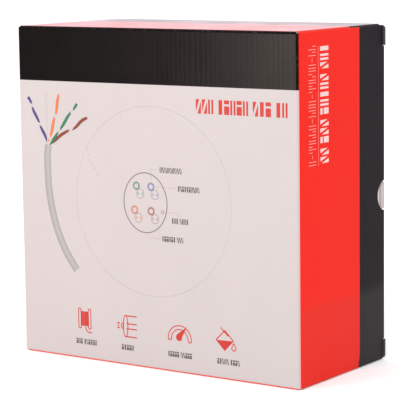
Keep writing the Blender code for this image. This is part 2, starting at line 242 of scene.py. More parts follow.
def flute_wave(tree, coords, axis, pitch=PITCH):
    """The uneven washboard of the flutes under a liner, along one axis, about 0 to 1."""
    stretch = [0.03, 0.03, 0.03]
    stretch[axis] = 1.0
    drawn_out = add_node(
        tree, "ShaderNodeVectorMath", [(1, stretch)], [(0, coords)], operation="MULTIPLY"
    ).outputs[0]
    parts = add_node(tree, "ShaderNodeSeparateXYZ", links=[(0, coords)])
    wander = noise(tree, drawn_out, 60, 2)
    phase = maths(tree, "MULTIPLY", parts.outputs[axis], 2 * math.pi / pitch)
    wave = maths(tree, "SINE", maths(tree, "MULTIPLY_ADD", wander, 9.0, phase))
    height = remap(tree, noise(tree, drawn_out, 90, 3, 0.6), 0.3, 0.7, 0.05, 0.5)
    streaks = noise(tree, drawn_out, 450, 4, 0.7)
    return maths(tree, "MULTIPLY_ADD", wave, height, maths(tree, "MULTIPLY", streaks, 1.6))


def board_look(name, colour, roughness, axis, depth=0.006 * MM, mottle=0.03, foot=None, **sockets):
    """Paper or ink on corrugated board: mottled, fibrous, worn on creases, washboarded.

    foot is the ink's colour below the heights of the foot fade: a painted reflection of the bright floor,
    with less saturated red and lighter black low on the walls.
    """
    mat, tree, shader = new_look(name, roughness, **sockets)
    coords = object_coords(tree)
    broad = noise(tree, coords, 30, 3)
    fibres = noise(tree, coords, 1400, 3, 0.6)
    tone = mix(tree, broad, scaled(colour, 1 - mottle), scaled(colour, 1 + mottle))
    tone = mix(tree, remap(tree, fibres, 0.35, 0.75, 0, mottle * 2), tone, scaled(colour, 0.8))
    # painted reflection of the bright floor: low on the walls the ink turns to its foot colour
    if foot is not None:
        height = add_node(tree, "ShaderNodeSeparateXYZ", links=[(0, coords)]).outputs[2]
        tone = mix(tree, remap(tree, height, *FLOOR_REFLECTION_FADE, 1, 0), tone, foot)
    wear = add_node(tree, "ShaderNodeAttribute", attribute_name="wear").outputs["Fac"]
    rubbed = remap(tree, noise(tree, coords, 420, 4, 0.7), 0.50, 0.72, 0, 1)
    worn = maths(tree, "MULTIPLY", wear, rubbed)
    tone = mix(tree, maths(tree, "MULTIPLY", worn, WEAR), tone, PAPER_CORE)
    tree.links.new(tone, shader.inputs["Base Color"])
    gloss = remap(tree, broad, 0.3, 0.7, roughness - 0.03, roughness + 0.05)
    tree.links.new(gloss, shader.inputs["Roughness"])
    ripple = maths(tree, "MULTIPLY", flute_wave(tree, coords, axis), remap(tree, broad, 0.3, 0.7, 0.5, 1))
    normal = bump(tree, noise(tree, coords, 9, 1), 0.35 * MM)
    normal = bump(tree, ripple, depth, normal)
    normal = bump(tree, fibres, 0.004 * MM, normal)
    tree.links.new(normal, shader.inputs["Normal"])
    return mat


def plain_look(name, colour, roughness, scale=600, depth=0.01 * MM, spread=0.06, **sockets):
    """A moulded or printed surface: a slightly uneven colour and a fine grain."""
    mat, tree, shader = new_look(name, roughness, **sockets)
    coords = object_coords(tree)
    grain = noise(tree, coords, scale, 3)
    broad = noise(tree, coords, 40, 2)
    tone = mix(tree, broad, scaled(colour, 1 - spread), scaled(colour, 1 + spread))
    tree.links.new(tone, shader.inputs["Base Color"])
    gloss = remap(tree, grain, 0.3, 0.7, roughness - 0.05, roughness + 0.05)
    tree.links.new(gloss, shader.inputs["Roughness"])
    tree.links.new(bump(tree, grain, depth), shader.inputs["Normal"])
    return mat


def ink_look(name, colour, roughness=0.5, spread=0.05, shine=0.2):
    """A flat printed ink."""
    return plain_look(name, colour, roughness, 500, 0.002 * MM, spread, Specular_IOR_Level=shine)


def shaded_look(name, edge, body, shine):
    """A printed round thing: tones across its width, read from the "across" attribute."""
    mat, tree, shader = new_look(name, 0.5, Specular_IOR_Level=0.25)
    across = add_node(tree, "ShaderNodeAttribute", attribute_name="across").outputs["Fac"]
    ramp = add_node(tree, "ShaderNodeValToRGB", links=[(0, across)])
    stops = ((0.0, edge), (0.22, body), (0.42, shine), (0.7, body), (1.0, edge))
    elements = ramp.color_ramp.elements
    while len(elements) < len(stops):
        elements.new(0.5)
    for element, (position, colour) in zip(elements, stops):
        element.position = position
        element.color = (*colour, 1.0)
    coords = object_coords(tree)
    tone = mix(tree, remap(tree, noise(tree, coords, 900, 3), 0.3, 0.7, 0, 0.08), ramp.outputs[0], edge)
    tree.links.new(tone, shader.inputs["Base Color"])
    return mat


def spiral_look(name, colour, pitch, roughness):
    """Spiral-wound paper tube: the winding's seam runs round the tube's Y axis."""
    mat, tree, shader = new_look(name, roughness)
    coords = object_coords(tree)
    parts = add_node(tree, "ShaderNodeSeparateXYZ", links=[(0, coords)])
    height = maths(tree, "SUBTRACT", parts.outputs[2], MIDDLE.z)
    angle = maths(tree, "ARCTAN2", height, parts.outputs[0])
    turns = maths(tree, "MULTIPLY_ADD", angle, 1 / (2 * math.pi), 0.5)
    along = maths(tree, "MULTIPLY_ADD", parts.outputs[1], 1 / pitch, turns)
    place = maths(tree, "FRACT", along)
    seam = remap(tree, place, 0.0, 0.04, 0, 1)
    fibres = noise(tree, coords, 1500, 4, 0.7)
    tone = mix(tree, fibres, scaled(colour, 0.8), scaled(colour, 1.15))
    tone = mix(tree, seam, scaled(colour, 0.45), tone)
    tree.links.new(tone, shader.inputs["Base Color"])
    normal = bump(tree, seam, 0.15 * MM)
    tree.links.new(bump(tree, fibres, 0.02 * MM, normal), shader.inputs["Normal"])
    return mat


WHITE = (0.406, 0.386, 0.383)
BLACK = (0.0014, 0.0003, 0.0003)
SIDE_BLACK = (0.009, 0.007, 0.009)
RIM_BLACK = (0.06, 0.056, 0.06)
# lighter black low on the walls: a painted reflection of the bright floor
FLOOR_REFLECTION_BLACK = (0.022, 0.021, 0.022)
RED = (0.675, 0.013, 0.005)
# less saturated red low on the walls: a painted reflection of the bright floor
FLOOR_REFLECTION_RED = (0.62, 0.019, 0.010)
# red of the front's bottom crease, a little lighter than the walls' red: painted light against the crease's
# contact shadow
CREASE_RED_PAINTED_LIGHT = (0.70, 0.022, 0.014)
LINER_WHITE = (0.64, 0.60, 0.595)
PAPER_CORE = (0.50, 0.47, 0.45)
WEAR = 0.05
KRAFT = (0.47, 0.31, 0.18)
GREY_PRINT = (0.075, 0.062, 0.064)
RING_PRINT = (0.17, 0.14, 0.145)
LINE_PRINT = (0.27, 0.245, 0.245)
RED_PRINT = (0.385, 0.024, 0.016)
WHITE_PRINT = (0.68, 0.50, 0.47)
PINK_PRINT = (0.72, 0.30, 0.27)
CUT_SHADE = (0.10, 0.085, 0.09)
# pink where the front's side creases turn from white to red: a painted highlight
PINK_FOLD_HIGHLIGHT = (0.56, 0.33, 0.32)
BLACK_PLASTIC = (0.018, 0.018, 0.020)
WHITE_PLASTIC = (0.72, 0.72, 0.70)
TAPE_TINT = (0.55, 0.46, 0.27)
JACKET = (0.40, 0.41, 0.40)

INK_SHINE = {"Specular_IOR_Level": 0.07}
GLOSS_SHINE = {"Specular_IOR_Level": 0.05}
TOP_SHINE = {"Specular_IOR_Level": 0.6}

X_AXIS = 0
Y_AXIS = 1
Z_AXIS = 2

pink_fold_highlight = board_look("pink_fold_highlight", PINK_FOLD_HIGHLIGHT, 0.42, X_AXIS, **INK_SHINE)
white_front = board_look("white_front", WHITE, 0.42, X_AXIS, **INK_SHINE)
black_front = board_look("black_front", BLACK, 0.23, X_AXIS, 0.015 * MM, 0.06, **INK_SHINE)
# the side inks' foot colours are a painted reflection of the bright floor low on the walls
red_side = board_look("red_side", RED, 0.34, Y_AXIS, foot=FLOOR_REFLECTION_RED, **GLOSS_SHINE)
black_side = board_look("black_side", SIDE_BLACK, 0.45, Y_AXIS, 0.008 * MM, 0.06, FLOOR_REFLECTION_BLACK, **GLOSS_SHINE)
crease_red_painted_light = board_look("crease_red_painted_light", CREASE_RED_PAINTED_LIGHT, 0.45, X_AXIS, **GLOSS_SHINE)
red_top = board_look("red_top", RED, 0.19, X_AXIS, **TOP_SHINE)
black_top = board_look("black_top", SIDE_BLACK, 0.19, X_AXIS, 0.02 * MM, 0.06, **TOP_SHINE)
black_lid = board_look("black_lid", SIDE_BLACK, 0.34, X_AXIS, 0.02 * MM, 0.06, **GLOSS_SHINE)
rim_black = board_look("rim_black", RIM_BLACK, 0.5, X_AXIS, 0.01 * MM, 0.06, **GLOSS_SHINE)
liner_x, liner_y, liner_z = (
    board_look(name, LINER_WHITE, 0.75, axis, 0.03 * MM, 0.05, Specular_IOR_Level=0.1)
    for name, axis in (("liner_x", X_AXIS), ("liner_y", Y_AXIS), ("liner_z", Z_AXIS))
)
core_paper = plain_look("core_paper", PAPER_CORE, 0.85, 1500, 0.01 * MM, 0.1, Specular_IOR_Level=0.2)
kraft_board = board_look("kraft_board", KRAFT, 0.8, X_AXIS, 0.06 * MM, 0.10, Specular_IOR_Level=0.2)
kraft_core = plain_look("kraft_core", scaled(KRAFT, 0.8), 0.85, 1500, 0.01 * MM, 0.1)
black_plastic = plain_look("black_plastic", BLACK_PLASTIC, 0.38, 900, 0.012 * MM)
white_plastic = plain_look("white_plastic", WHITE_PLASTIC, 0.42, 900, 0.008 * MM)
grey_jacket = plain_look("grey_jacket", JACKET, 0.42, 260, 0.03 * MM, 0.08)
clear_tape = plain_look("clear_tape", TAPE_TINT, 0.16, 300, 0.01 * MM, 0.1, Coat_Weight=0.5)
tube_paper = spiral_look("tube_paper", KRAFT, 38 * MM, 0.75)
core_tube_paper = spiral_look("core_tube_paper", scaled(KRAFT, 0.9), 60 * MM, 0.8)
grey_ink = ink_look("grey_ink", GREY_PRINT)
ring_ink = ink_look("ring_ink", RING_PRINT)
line_ink = ink_look("line_ink", LINE_PRINT)
red_ink = ink_look("red_ink", RED_PRINT, 0.45)
white_ink = ink_look("white_ink", WHITE_PRINT, 0.4, 0.04, 0.3)
pink_ink = ink_look("pink_ink", PINK_PRINT, 0.4, 0.04, 0.3)
cut_shade = plain_look("cut_shade", CUT_SHADE, 0.8, 800, 0.002 * MM)


# ---------------------------------------------------------------- outlines


def arc(centre, radius, start, end, steps):
    """Points on a circular arc, angles in degrees, both ends included."""
    points = []
    for step in range(steps + 1):
        angle = math.radians(start + (end - start) * step / steps)
        points.append((centre[0] + radius * math.cos(angle), centre[1] + radius * math.sin(angle)))
    return points


def ellipse(centre, radius_x, radius_y, steps=48):
    """A closed ellipse as a list of points."""
    unit = arc((0, 0), 1, 0, 360, steps)[:-1]
    return [(centre[0] + radius_x * x, centre[1] + radius_y * y) for x, y in unit]


def rectangle(low_x, low_y, high_x, high_y):
    """Four corners, counter-clockwise."""
    return [(low_x, low_y), (high_x, low_y), (high_x, high_y), (low_x, high_y)]


def smooth_path(points, steps):
    """A Catmull-Rom curve through the points, with steps spans between two of them."""
    padded = [points[0], *points, points[-1]]
    result = []
    for i in range(1, len(padded) - 2):
        before, start, end, after = (Vector(p) for p in padded[i - 1 : i + 3])
        for step in range(steps):
            t = step / steps
            result.append(
                0.5
                * (
                    2 * start
                    + (end - before) * t
                    + (2 * before - 5 * start + 4 * end - after) * t**2
                    + (3 * start - before - 3 * end + after) * t**3
                )
            )
    result.append(Vector(points[-1]))
    return [tuple(p) for p in result]


def sides_of(points, half_widths, closed=False):
    """Two lines beside a path, at half a width on its left and on its right."""
    count = len(points)
    left = []
    right = []
    for i, point in enumerate(points):
        here = Vector(point)
        before = Vector(points[i - 1]) if (i > 0 or closed) else None
        after = Vector(points[(i + 1) % count]) if (i < count - 1 or closed) else None
        incoming = (here - before).normalized() if before is not None else None
        outgoing = (after - here).normalized() if after is not None else None
        if incoming is None:
            incoming = outgoing
        if outgoing is None:
            outgoing = incoming
        along = (incoming + outgoing).normalized()
        across = Vector((-along.y, along.x))
        lengthening = 1 / max(0.4, across.dot(Vector((-incoming.y, incoming.x))))
        offset = across * half_widths[i] * lengthening
        left.append(tuple(here + offset))
        right.append(tuple(here - offset))
    return left, right


# A shape is a list of loops: one outline, then its holes.


def stroke(points, width, closed=False):
    """A line of constant width as one shape."""
    left, right = sides_of(points, [width / 2] * len(points), closed)
    if closed:
        return [right, left]
    return [left + right[::-1]]


def ring(centre, radius_x, radius_y, width, steps=48):
    """A closed elliptical line as one shape."""
    outer = ellipse(centre, radius_x + width / 2, radius_y + width / 2, steps)
    inner = ellipse(centre, radius_x - width / 2, radius_y - width / 2, steps)
    return [outer, inner]


# ---------------------------------------------------------------- solids


def prism(loops, low, high):
    """A closed solid: outlines (with holes) filled at two heights."""
    flat = [[Vector((x, y, 0)) for x, y in loop] for loop in loops]
    points = [point for loop in flat for point in loop]
    count = len(points)
    verts = [(p.x, p.y, low) for p in points] + [(p.x, p.y, high) for p in points]
    faces = []
    for triangle in tessellate_polygon(flat):
        faces.append(tuple(triangle))
        faces.append(tuple(i + count for i in reversed(triangle)))
    start = 0
    for loop in loops:
        size = len(loop)
        for i in range(size):
            here = start + i
            after = start + (i + 1) % size
            faces.append((here, after, after + count, here + count))
        start += size
    return verts, faces


def lathe(profile, steps=96):
    """A closed (radius, y) profile turned about the spool's axis."""
    verts = []
    faces = []
    size = len(profile)
    for step in range(steps):
        angle = 2 * math.pi * step / steps
        for radius, y in profile:
            x = radius * math.cos(angle)
            z = MIDDLE.z + radius * math.sin(angle)
            verts.append((x, y, z))
    for step in range(steps):
        here = step * size
        after = (step + 1) % steps * size
        for i in range(size):
            j = (i + 1) % size
            faces.append((here + i, after + i, after + j, here + j))
    return verts, faces


def sector(inner, outer, start, end, low, high, steps=5):
    """A closed part of a ring about local Z, angles in degrees."""
    outline = arc((0, 0), outer, start, end, steps) + arc((0, 0), inner, end, start, steps)
    return prism([outline], low, high)


def new_object(name, mesh):
    """An object in the scene that shows the mesh."""
    obj = bpy.data.objects.new(name, mesh)
    bpy.context.scene.collection.objects.link(obj)
    return obj


def boolean(first, second, operation):
    """Two (verts, faces) solids combined exactly; gives (verts, faces)."""
    objects = []
    for verts, faces in (first, second):
        mesh = bpy.data.meshes.new("solid")
        mesh.from_pydata(verts, [], faces)
        work = bmesh.new()
        work.from_mesh(mesh)
        bmesh.ops.recalc_face_normals(work, faces=work.faces)
        work.to_mesh(mesh)
        work.free()
        objects.append(new_object("solid", mesh))
    modifier = objects[0].modifiers.new("combine", "BOOLEAN")
    modifier.operation = operation
    modifier.object = objects[1]
    bpy.context.view_layer.update()
    graph = bpy.context.evaluated_depsgraph_get()
    result = bpy.data.meshes.new_from_object(objects[0].evaluated_get(graph))
    verts = [tuple(v.co) for v in result.vertices]
    faces = [tuple(p.vertices) for p in result.polygons]
    for obj in objects:
        bpy.data.objects.remove(obj, do_unlink=True)
    return verts, faces


def wavy_sheet(loops, low, high, pitch, along_v):
    """The medium between two liners, cut to the outline; flutes run along local Y or X."""
    us = [x for loop in loops for x, y in loop]
    vs = [y for loop in loops for x, y in loop]
    if not along_v:
        us, vs = vs, us
    start = min(us) - pitch
    waves = math.ceil((max(us) - start) / pitch) + 1
    middle = (low + high) / 2
    swing = (high - low - SHEET) / 2
    samples = 10
    upper = []
    lower = []
    for i in range(waves * samples + 1):
        u = start + i * pitch / samples
        w = middle + swing * math.sin(2 * math.pi * i / samples)
        upper.append((u, w + SHEET / 2))
        lower.append((u, w - SHEET / 2))
    verts, faces = prism([upper + lower[::-1]], min(vs) - pitch, max(vs) + pitch)
    if along_v:
        verts = [(u, v, w) for u, w, v in verts]
    else:
        verts = [(v, u, w) for u, w, v in verts]
    return boolean((verts, faces), prism(loops, low - LINER, high + LINER), "INTERSECT")


def plane(origin, u, v):
    """A matrix whose local X and Y are u and v, and whose local Z faces outwards."""
    u = Vector(u)
    v = Vector(v)
    matrix = Matrix((u, v, u.cross(v))).transposed().to_4x4()
    matrix.translation = Vector(origin)
    return matrix


ON_FRONT = plane((0, FRONT, 0), (1, 0, 0), (0, 0, 1))
ON_REAR = plane((0, REAR, 0), (-1, 0, 0), (0, 0, 1))
ON_RIGHT = plane((RIGHT, 0, 0), (0, 1, 0), (0, 0, 1))
ON_LEFT = plane((LEFT, 0, 0), (0, -1, 0), (0, 0, 1))
ON_TOP = plane((0, 0, TOP), (1, 0, 0), (0, 1, 0))
ON_BASE = plane((0, 0, BASE), (1, 0, 0), (0, -1, 0))


class Piece:
    """One visible piece: closed shells, each with its material, in a single mesh."""

    def __init__(self, name):
        self.name = name
        self.work = bmesh.new()
        self.attributes = {
            key: self.work.verts.layers.float.new(key) for key in ("wear", "across")
        }
        self.materials = []
        self.printed = 0

    def add(self, solid, material, place=Matrix(), attribute=None, values=None):
        """Adds (verts, faces), with an optional value for each vertex."""
        verts, faces = solid
        if material not in self.materials:
            self.materials.append(material)
        index = self.materials.index(material)
        made = [self.work.verts.new(place @ Vector(v)) for v in verts]
        if attribute is not None:
            layer = self.attributes[attribute]
            for vert, value in zip(made, values):
                vert[layer] = value
        for face in faces:
            self.work.faces.new([made[i] for i in face]).material_index = index
        return self

    def build(self, body=None, replaces=(), round_angle=0):
        bmesh.ops.recalc_face_normals(self.work, faces=self.work.faces)
        mesh = bpy.data.meshes.new(self.name)
        self.work.to_mesh(mesh)
        self.work.free()
        for material in self.materials:
            mesh.materials.append(material)
        if round_angle:
            mesh.shade_smooth()
            mesh.set_sharp_from_angle(angle=math.radians(round_angle))
        obj = new_object(self.name, mesh)
        if body is not None:
            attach(obj, body)
        if replaces:
            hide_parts(*replaces)
        return obj


# ---------------------------------------------------------------- corrugated board


def add_board(
    piece, place, loops, prints, inner, core, along_v=True, thick=BOARD, pitch=PITCH, medium=None
):
    """A flat board under a plane: prints are (material, loops) of the outer liner.

    medium is the outline of the wavy sheet, where it is plainer than the liners'.
    """
    for material, part in prints:
        piece.add(prism(part, -SKIN - LINER, -SKIN), material, place)
    piece.add(prism(loops, -thick, -thick + LINER), inner, place)
    sheet = wavy_sheet(medium or loops, -thick + LINER, -SKIN - LINER, pitch, along_v)
    piece.add(sheet, core, place)


def add_crease(piece, centre, first, second, start, end, prints, inner, core, thick=BOARD):
    """A quarter turn from the board facing first to the board facing second.

    start and end are distances from centre along first x second; prints are the
    outer materials, each with the angle at which it ends.
    """
    along = Vector(first).cross(Vector(second))
    place = Matrix((Vector(first), Vector(second), along)).transposed().to_4x4()
    place.translation = Vector(centre)
    outer = thick + GAP - SKIN
    low = 0
    for material, high in prints:
        steps = max(2, round((high - low) / 11))
        solid = sector(outer - LINER, outer, low, high, start, end, steps)
        wear = [math.sin(2 * math.atan2(y, x)) if x > 0 and y > 0 else 0 for x, y, _ in solid[0]]
        piece.add(solid, material, place, "wear", wear)
        low = high
    piece.add(sector(GAP + LINER, outer - LINER, 0, 90, start, end, 8), core, place)
    piece.add(sector(GAP, GAP + LINER, 0, 90, start, end, 8), inner, place)


def perforated_hole():
    """The knock-out's edge in the panel, widened at each cut of the perforation."""
    centre = KNOCKOUT_CENTRE
    inner = KNOCKOUT_RADIUS
    outer = inner + CUT_WIDTH
    step = 360 / CUT_COUNT
    points = []
    for i in range(CUT_COUNT):
        start = i * step
        end = start + step * CUT_SHARE
        points += arc(centre, inner, start, start, 1)[:1]
        points += arc(centre, outer, start, end, 2)
        points += arc(centre, inner, end, end, 1)[:1]
        points += arc(centre, inner, end, start + step, 2)[1:-1]
    return points


def front_panel():
    """White front with a black band, four creases and the perforated hole."""
    piece = Piece("carton_front")
    side = RIGHT - TURN
    low = BASE + TURN
    high = TOP - TURN
    band = TOP - BAND_HEIGHT
    hole = perforated_hole()
    whole = [rectangle(-side, low, side, high), hole]
    prints = (
        (white_front, [[(-side, low), (side, low), (side, band), (-side, band - BAND_SKEW)], hole]),
        (black_front, [[(-side, band - BAND_SKEW), (side, band), (side, high), (-side, high)]]),
    )
    reach = KNOCKOUT_RADIUS + CUT_WIDTH
    simple = [whole[0], ellipse(KNOCKOUT_CENTRE, reach, reach, 96)]
    across = (liner_x, core_paper)
    add_board(piece, ON_FRONT, whole, prints, *across, medium=simple)
    y = FRONT + TURN
    forward = (0, -1, 0)
    upper_inks = ((black_front, 78), (red_side, 90))
    # the bottom crease's red is a little lighter than the walls' red: painted light against its contact
    # shadow
    lower_inks = ((white_front, 30), (crease_red_painted_light, 90))
    for z, up, inks in ((high, 1, upper_inks), (low, -1, lower_inks)):
        add_crease(piece, (0, y, z), forward, (0, 0, up), -side, side, inks, *across)
    for sign in (-1, 1):
        centre = (sign * side, y, 0)
        outward = (sign, 0, 0)
        # the pink band between the white and the red is a painted highlight on the crease
        white_turn = ((white_front, 40), (pink_fold_highlight, 62), (red_side, 90))
        black_turn = ((black_front, 58), (red_side, 90))
        edge = band if sign > 0 else band - BAND_SKEW
        for inks, start, end in ((white_turn, WALL_LOW, edge), (black_turn, edge, WALL_HIGH)):
            # first x second points up on the right and down on the left
            span = (start, end) if sign > 0 else (-end, -start)
            add_crease(piece, centre, forward, outward, *span, inks, *across)
    piece.build("tray", ["front_panel"], 40)


def level_wall(name, place, node):
    """Top or bottom wall: red in front, black behind, side creases into the corner flaps."""
    piece = Piece(name)
    flip = 1 if place is ON_TOP else -1
    side = FLAP_X - TURN
    front = FRONT + TURN
    notch = SHOULDER_START - GAP
    outline = [
        (-side, front),
        (side, front),
        (side, WALL_END),
        (notch, WALL_END),
        (notch, REAR),
        (-side, REAR),
    ]
    red_part = rectangle(-side, front, side, TOP_SPLIT)
    black_part = [(-side, TOP_SPLIT), (side, TOP_SPLIT), *outline[2:]]
    whole, red_part, black_part = (
        [(x, flip * y) for x, y in points] for points in (outline, red_part, black_part)
    )
    prints = ((red_top, [red_part]), (black_top, [black_part]))
    add_board(piece, place, [whole], prints, liner_x, core_paper)
    height = TOP - TURN if flip > 0 else BASE + TURN
    for sign in (-1, 1):
        for ink, start, end in ((red_side, front, TOP_SPLIT), (black_side, TOP_SPLIT, WALL_END)):
            # the crease's own axis points along +Y where sign and flip agree, else along -Y
            span = (start, end) if sign == flip else (-end, -start)
            turn = ((0, 0, flip), (sign, 0, 0))
            centre = (sign * side, 0, height)
            add_crease(piece, centre, *turn, *span, ((ink, 90),), liner_x, core_paper)
    piece.build("tray", [node], 40)


def side_prints(outline_red, outline_black):
    """The two inks of a side wall."""
    return ((red_side, [outline_red]), (black_side, [outline_black]))


def right_wall():
    """Red and black wall with the thumb notch; low rests for the lid's shoulders."""
    piece = Piece("carton_right")
    front = FRONT + TURN
    split = SIDE_SPLIT
    bend = SPLIT_BEND
    spread = math.degrees(math.acos(NOTCH_OVERHANG / NOTCH_RADIUS))
    notch = arc((REAR + NOTCH_OVERHANG, NOTCH_Z), NOTCH_RADIUS, 180 + spread, 180 - spread, 28)
    rear_edge = [
        (WALL_END, WALL_LOW),
        (WALL_END, BASE + SHOULDER),
        (REAR, BASE + SHOULDER),
        *notch,
        (REAR, TOP - SHOULDER),
        (WALL_END, TOP - SHOULDER),
        (WALL_END, WALL_HIGH),
    ]
    split_edge = [(split, WALL_HIGH), (split, WALL_LOW + SPLIT_BEND_HEIGHT), (split - bend, WALL_LOW)]
    red_part = [(front, WALL_LOW), *split_edge[::-1], (front, WALL_HIGH)]
    black_part = [*rear_edge, *split_edge]
    whole = [(front, WALL_LOW), *rear_edge, (front, WALL_HIGH)]
    add_board(piece, ON_RIGHT, [whole], side_prints(red_part, black_part), liner_y, core_paper)
    for z in (WALL_LOW - EDGE, WALL_HIGH):
        # ink pressed over the outer part of the cut edges
        for ink, start, end in ((red_side, front, split), (black_side, split, WALL_END)):
            strip = prism([rectangle(start, z, end, z + EDGE)], -SKIN - PRESSED, -SKIN)
            piece.add(strip, ink, ON_RIGHT)
    piece.build("tray", ["right_wall"])


def left_wall():
    """Red and black wall on which the lid is creased."""
    piece = Piece("carton_left")
    front = FRONT + TURN
    whole = rectangle(-WALL_END, WALL_LOW, -front, WALL_HIGH)
    red_part = rectangle(-SIDE_SPLIT, WALL_LOW, -front, WALL_HIGH)
    black_part = rectangle(-WALL_END, WALL_LOW, -SIDE_SPLIT, WALL_HIGH)
    add_board(piece, ON_LEFT, [whole], side_prints(red_part, black_part), liner_y, core_paper)
    piece.build("tray", ["left_wall"])


def corner_flaps():
    """Four glued flaps inside the side walls, flutes along the carton's depth."""
    taper = 10 * MM
    corner = 4 * MM
    for side, sign in (("left", -1), ("right", 1)):
        for level in ("top", "bottom"):
            node = f"corner_flap_{level}_{side}"
            low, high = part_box(node)
            tip, root = (low.z, high.z) if level == "top" else (high.z, low.z)
            step = 1 if level == "top" else -1
            outline = [
                (low.y, root),
                (low.y, tip + step * corner),
                (low.y + corner, tip),
                (high.y - taper, tip),
                (high.y, tip + step * taper),
                (high.y, root),
            ]
            place = plane((sign * FLAP_X, 0, 0), (0, sign, 0), (0, 0, 1))
            points = [(sign * y, z) for y, z in outline]
            piece = Piece(f"flap_{level}_{side}")
            add_board(piece, place, [points], ((liner_z, [points]),), liner_z, core_paper, False)
            piece.build("tray", [node])


def knockout():
    """The disc that the perforation leaves."""
    piece = Piece("knockout")
    loop = ellipse(KNOCKOUT_CENTRE, KNOCKOUT_RADIUS, KNOCKOUT_RADIUS, 2 * CUT_COUNT)
    add_board(piece, ON_FRONT, [loop], ((white_front, [loop]),), liner_x, core_paper)
    piece.build("knockout", ["knockout_disc"])


# ---------------------------------------------------------------- lid


def lid_outline():
    """The lid's flat part, seen from behind: local X runs towards -X."""
    hinge = -(LEFT + TURN)
    fold = -(FLAP_X - TURN)
    low = lid_low.z
    start = -SHOULDER_START
    reach = EDGE - lid_high.x
    root_z = BASE + SHOULDER - GAP
    wing_start = -wing_low.x + GAP
    wing_end = -wing_high.x - GAP
    fold_z = BASE + 2 * TURN
    corner = (reach + SHOULDER_CORNER, low + SHOULDER_CORNER)
    lower = [
        (hinge, BASE + TURN),
        (wing_start, BASE + TURN),
        (wing_start, fold_z),
        (wing_end, fold_z),
        (wing_end, BASE + TURN),
        (start, BASE + TURN),
        (start, low),
        *arc(corner, SHOULDER_CORNER, 270, 180, 8),
        (reach, root_z),
        (fold, root_z),
    ]
    upper = [(x, TOP + BASE - z) for x, z in reversed(lower)]
    tab_x = TAB_CORNER - TAB_REACH
    tab = [
        (fold, NOTCH_Z - TAB_HALF),
        *arc((tab_x, NOTCH_Z - TAB_HALF + TAB_CORNER), TAB_CORNER, 270, 180, 6),
        *arc((tab_x, NOTCH_Z + TAB_HALF - TAB_CORNER), TAB_CORNER, 180, 90, 6),
        (fold, NOTCH_Z + TAB_HALF),
    ]
    return lower + tab + upper


def shoulder_wrap(up):
    """The printed liner pressed round the cut edge of a shoulder and just inside it."""
    reach = lid_high.x
    corner = SHOULDER_CORNER
    free = lid_high.z if up > 0 else lid_low.z
    root = TOP - SHOULDER + GAP if up > 0 else BASE + SHOULDER - GAP
    centre = (reach - corner, free - up * corner)

    def rim(radius):
        points = arc((0, 0), radius, 0, 90, 8)
        return [(centre[0] + radius, root)] + [(centre[0] + x, centre[1] + up * z) for x, z in points]

    strip = [rim(corner) + rim(corner - EDGE)[::-1]]
    lip = [rim(corner) + [(centre[0], root)]]
    solids = []
    for outline, low, high in ((strip, lid_low.y, REAR - EDGE), (lip, lid_low.y - EDGE / 2, lid_low.y)):
        verts, faces = prism(outline, low, high)
        solids.append(([(x, y, z) for x, z, y in verts], faces))
    return solids


def lid_panel():
    """The rear lid with its shoulders, and the creases of its two wings."""
    piece = Piece("lid")
    outline = lid_outline()
    add_board(piece, ON_REAR, [outline], ((black_lid, [outline]),), liner_x, core_paper)
    y = REAR - TURN
    for height, direction in ((TOP - 2 * TURN, 1), (BASE + 2 * TURN, -1)):
        span = (-wing_high.x, -wing_low.x) if direction < 0 else (wing_low.x, wing_high.x)
        first = (0, 1, 0)
        second = (0, 0, direction)
        inks = ((black_lid, 60), (liner_x, 90))
        add_crease(piece, (0, y, height), first, second, *span, inks, liner_x, core_paper)
    for up in (-1, 1):
        for solid in shoulder_wrap(up):
            piece.add(solid, rim_black)
    piece.build("lid", ["lid_panel"], 40)


def lid_wings():
    """The two flaps folded in under the top and bottom walls."""
    taper = 6 * MM
    for node in ("wing_top", "wing_bottom"):
        low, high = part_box(node)
        flip = 1 if node == "wing_top" else -1
        z = high.z if flip > 0 else low.z
        place = plane((0, 0, z), (1, 0, 0), (0, flip, 0))
        root = REAR - TURN
        outline = [
            (low.x, flip * root),
            (low.x + taper, flip * low.y),
            (high.x - taper, flip * low.y),
            (high.x, flip * root),
        ]
        piece = Piece(node.replace("wing", "lid_wing"))
        add_board(piece, place, [outline], ((liner_x, [outline]),), liner_x, core_paper)
        piece.build("lid", [node])


def tuck_flap():
    """The leaning flap behind the right wall."""
    root_half = (tuck_high.z - tuck_low.z) / 2
    length = 22 * MM
    taper = 6 * MM
    tip_half = root_half - taper
    middle = MIDDLE.z
    upper = [
        (-TURN, middle + root_half),
        (taper - length, middle + tip_half + taper / 2),
        *[(-x, y) for x, y in arc((length - taper, middle + tip_half - taper / 2), taper, 60, 0, 6)],
    ]
    outline = upper + [(x, 2 * middle - z) for x, z in reversed(upper)]
    low = NOTCH_Z - TAB_HALF - GAP
    high = NOTCH_Z + TAB_HALF + GAP
    root = -TURN - TAB_CUT
    outline += [(-TURN, low), (root, low), (root, high), (-TURN, high)]
    u = (math.sin(LEAN), math.cos(LEAN), 0)
    place = plane((FLAP_X, REAR, 0), u, (0, 0, 1))
    piece = Piece("lid_tuck_flap")
    add_board(piece, place, [outline], ((liner_y, [outline]),), liner_y, core_paper)
    piece.build("tuck_flap", ["tuck_flap"])


def bending_crease(name, centre, first, second, start, end, prints, body_a, body_b):
    """A crease that opens with the joint between two bodies."""
    piece = Piece(name)
    add_crease(piece, centre, first, second, start, end, prints, liner_y, core_paper)
    obj = piece.build(None, (), 40)
    low = Vector(centre) + TURN * Vector(first)
    high = Vector(centre) + TURN * Vector(second)
    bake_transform(obj, body_a, body_b, start=low, end=high)


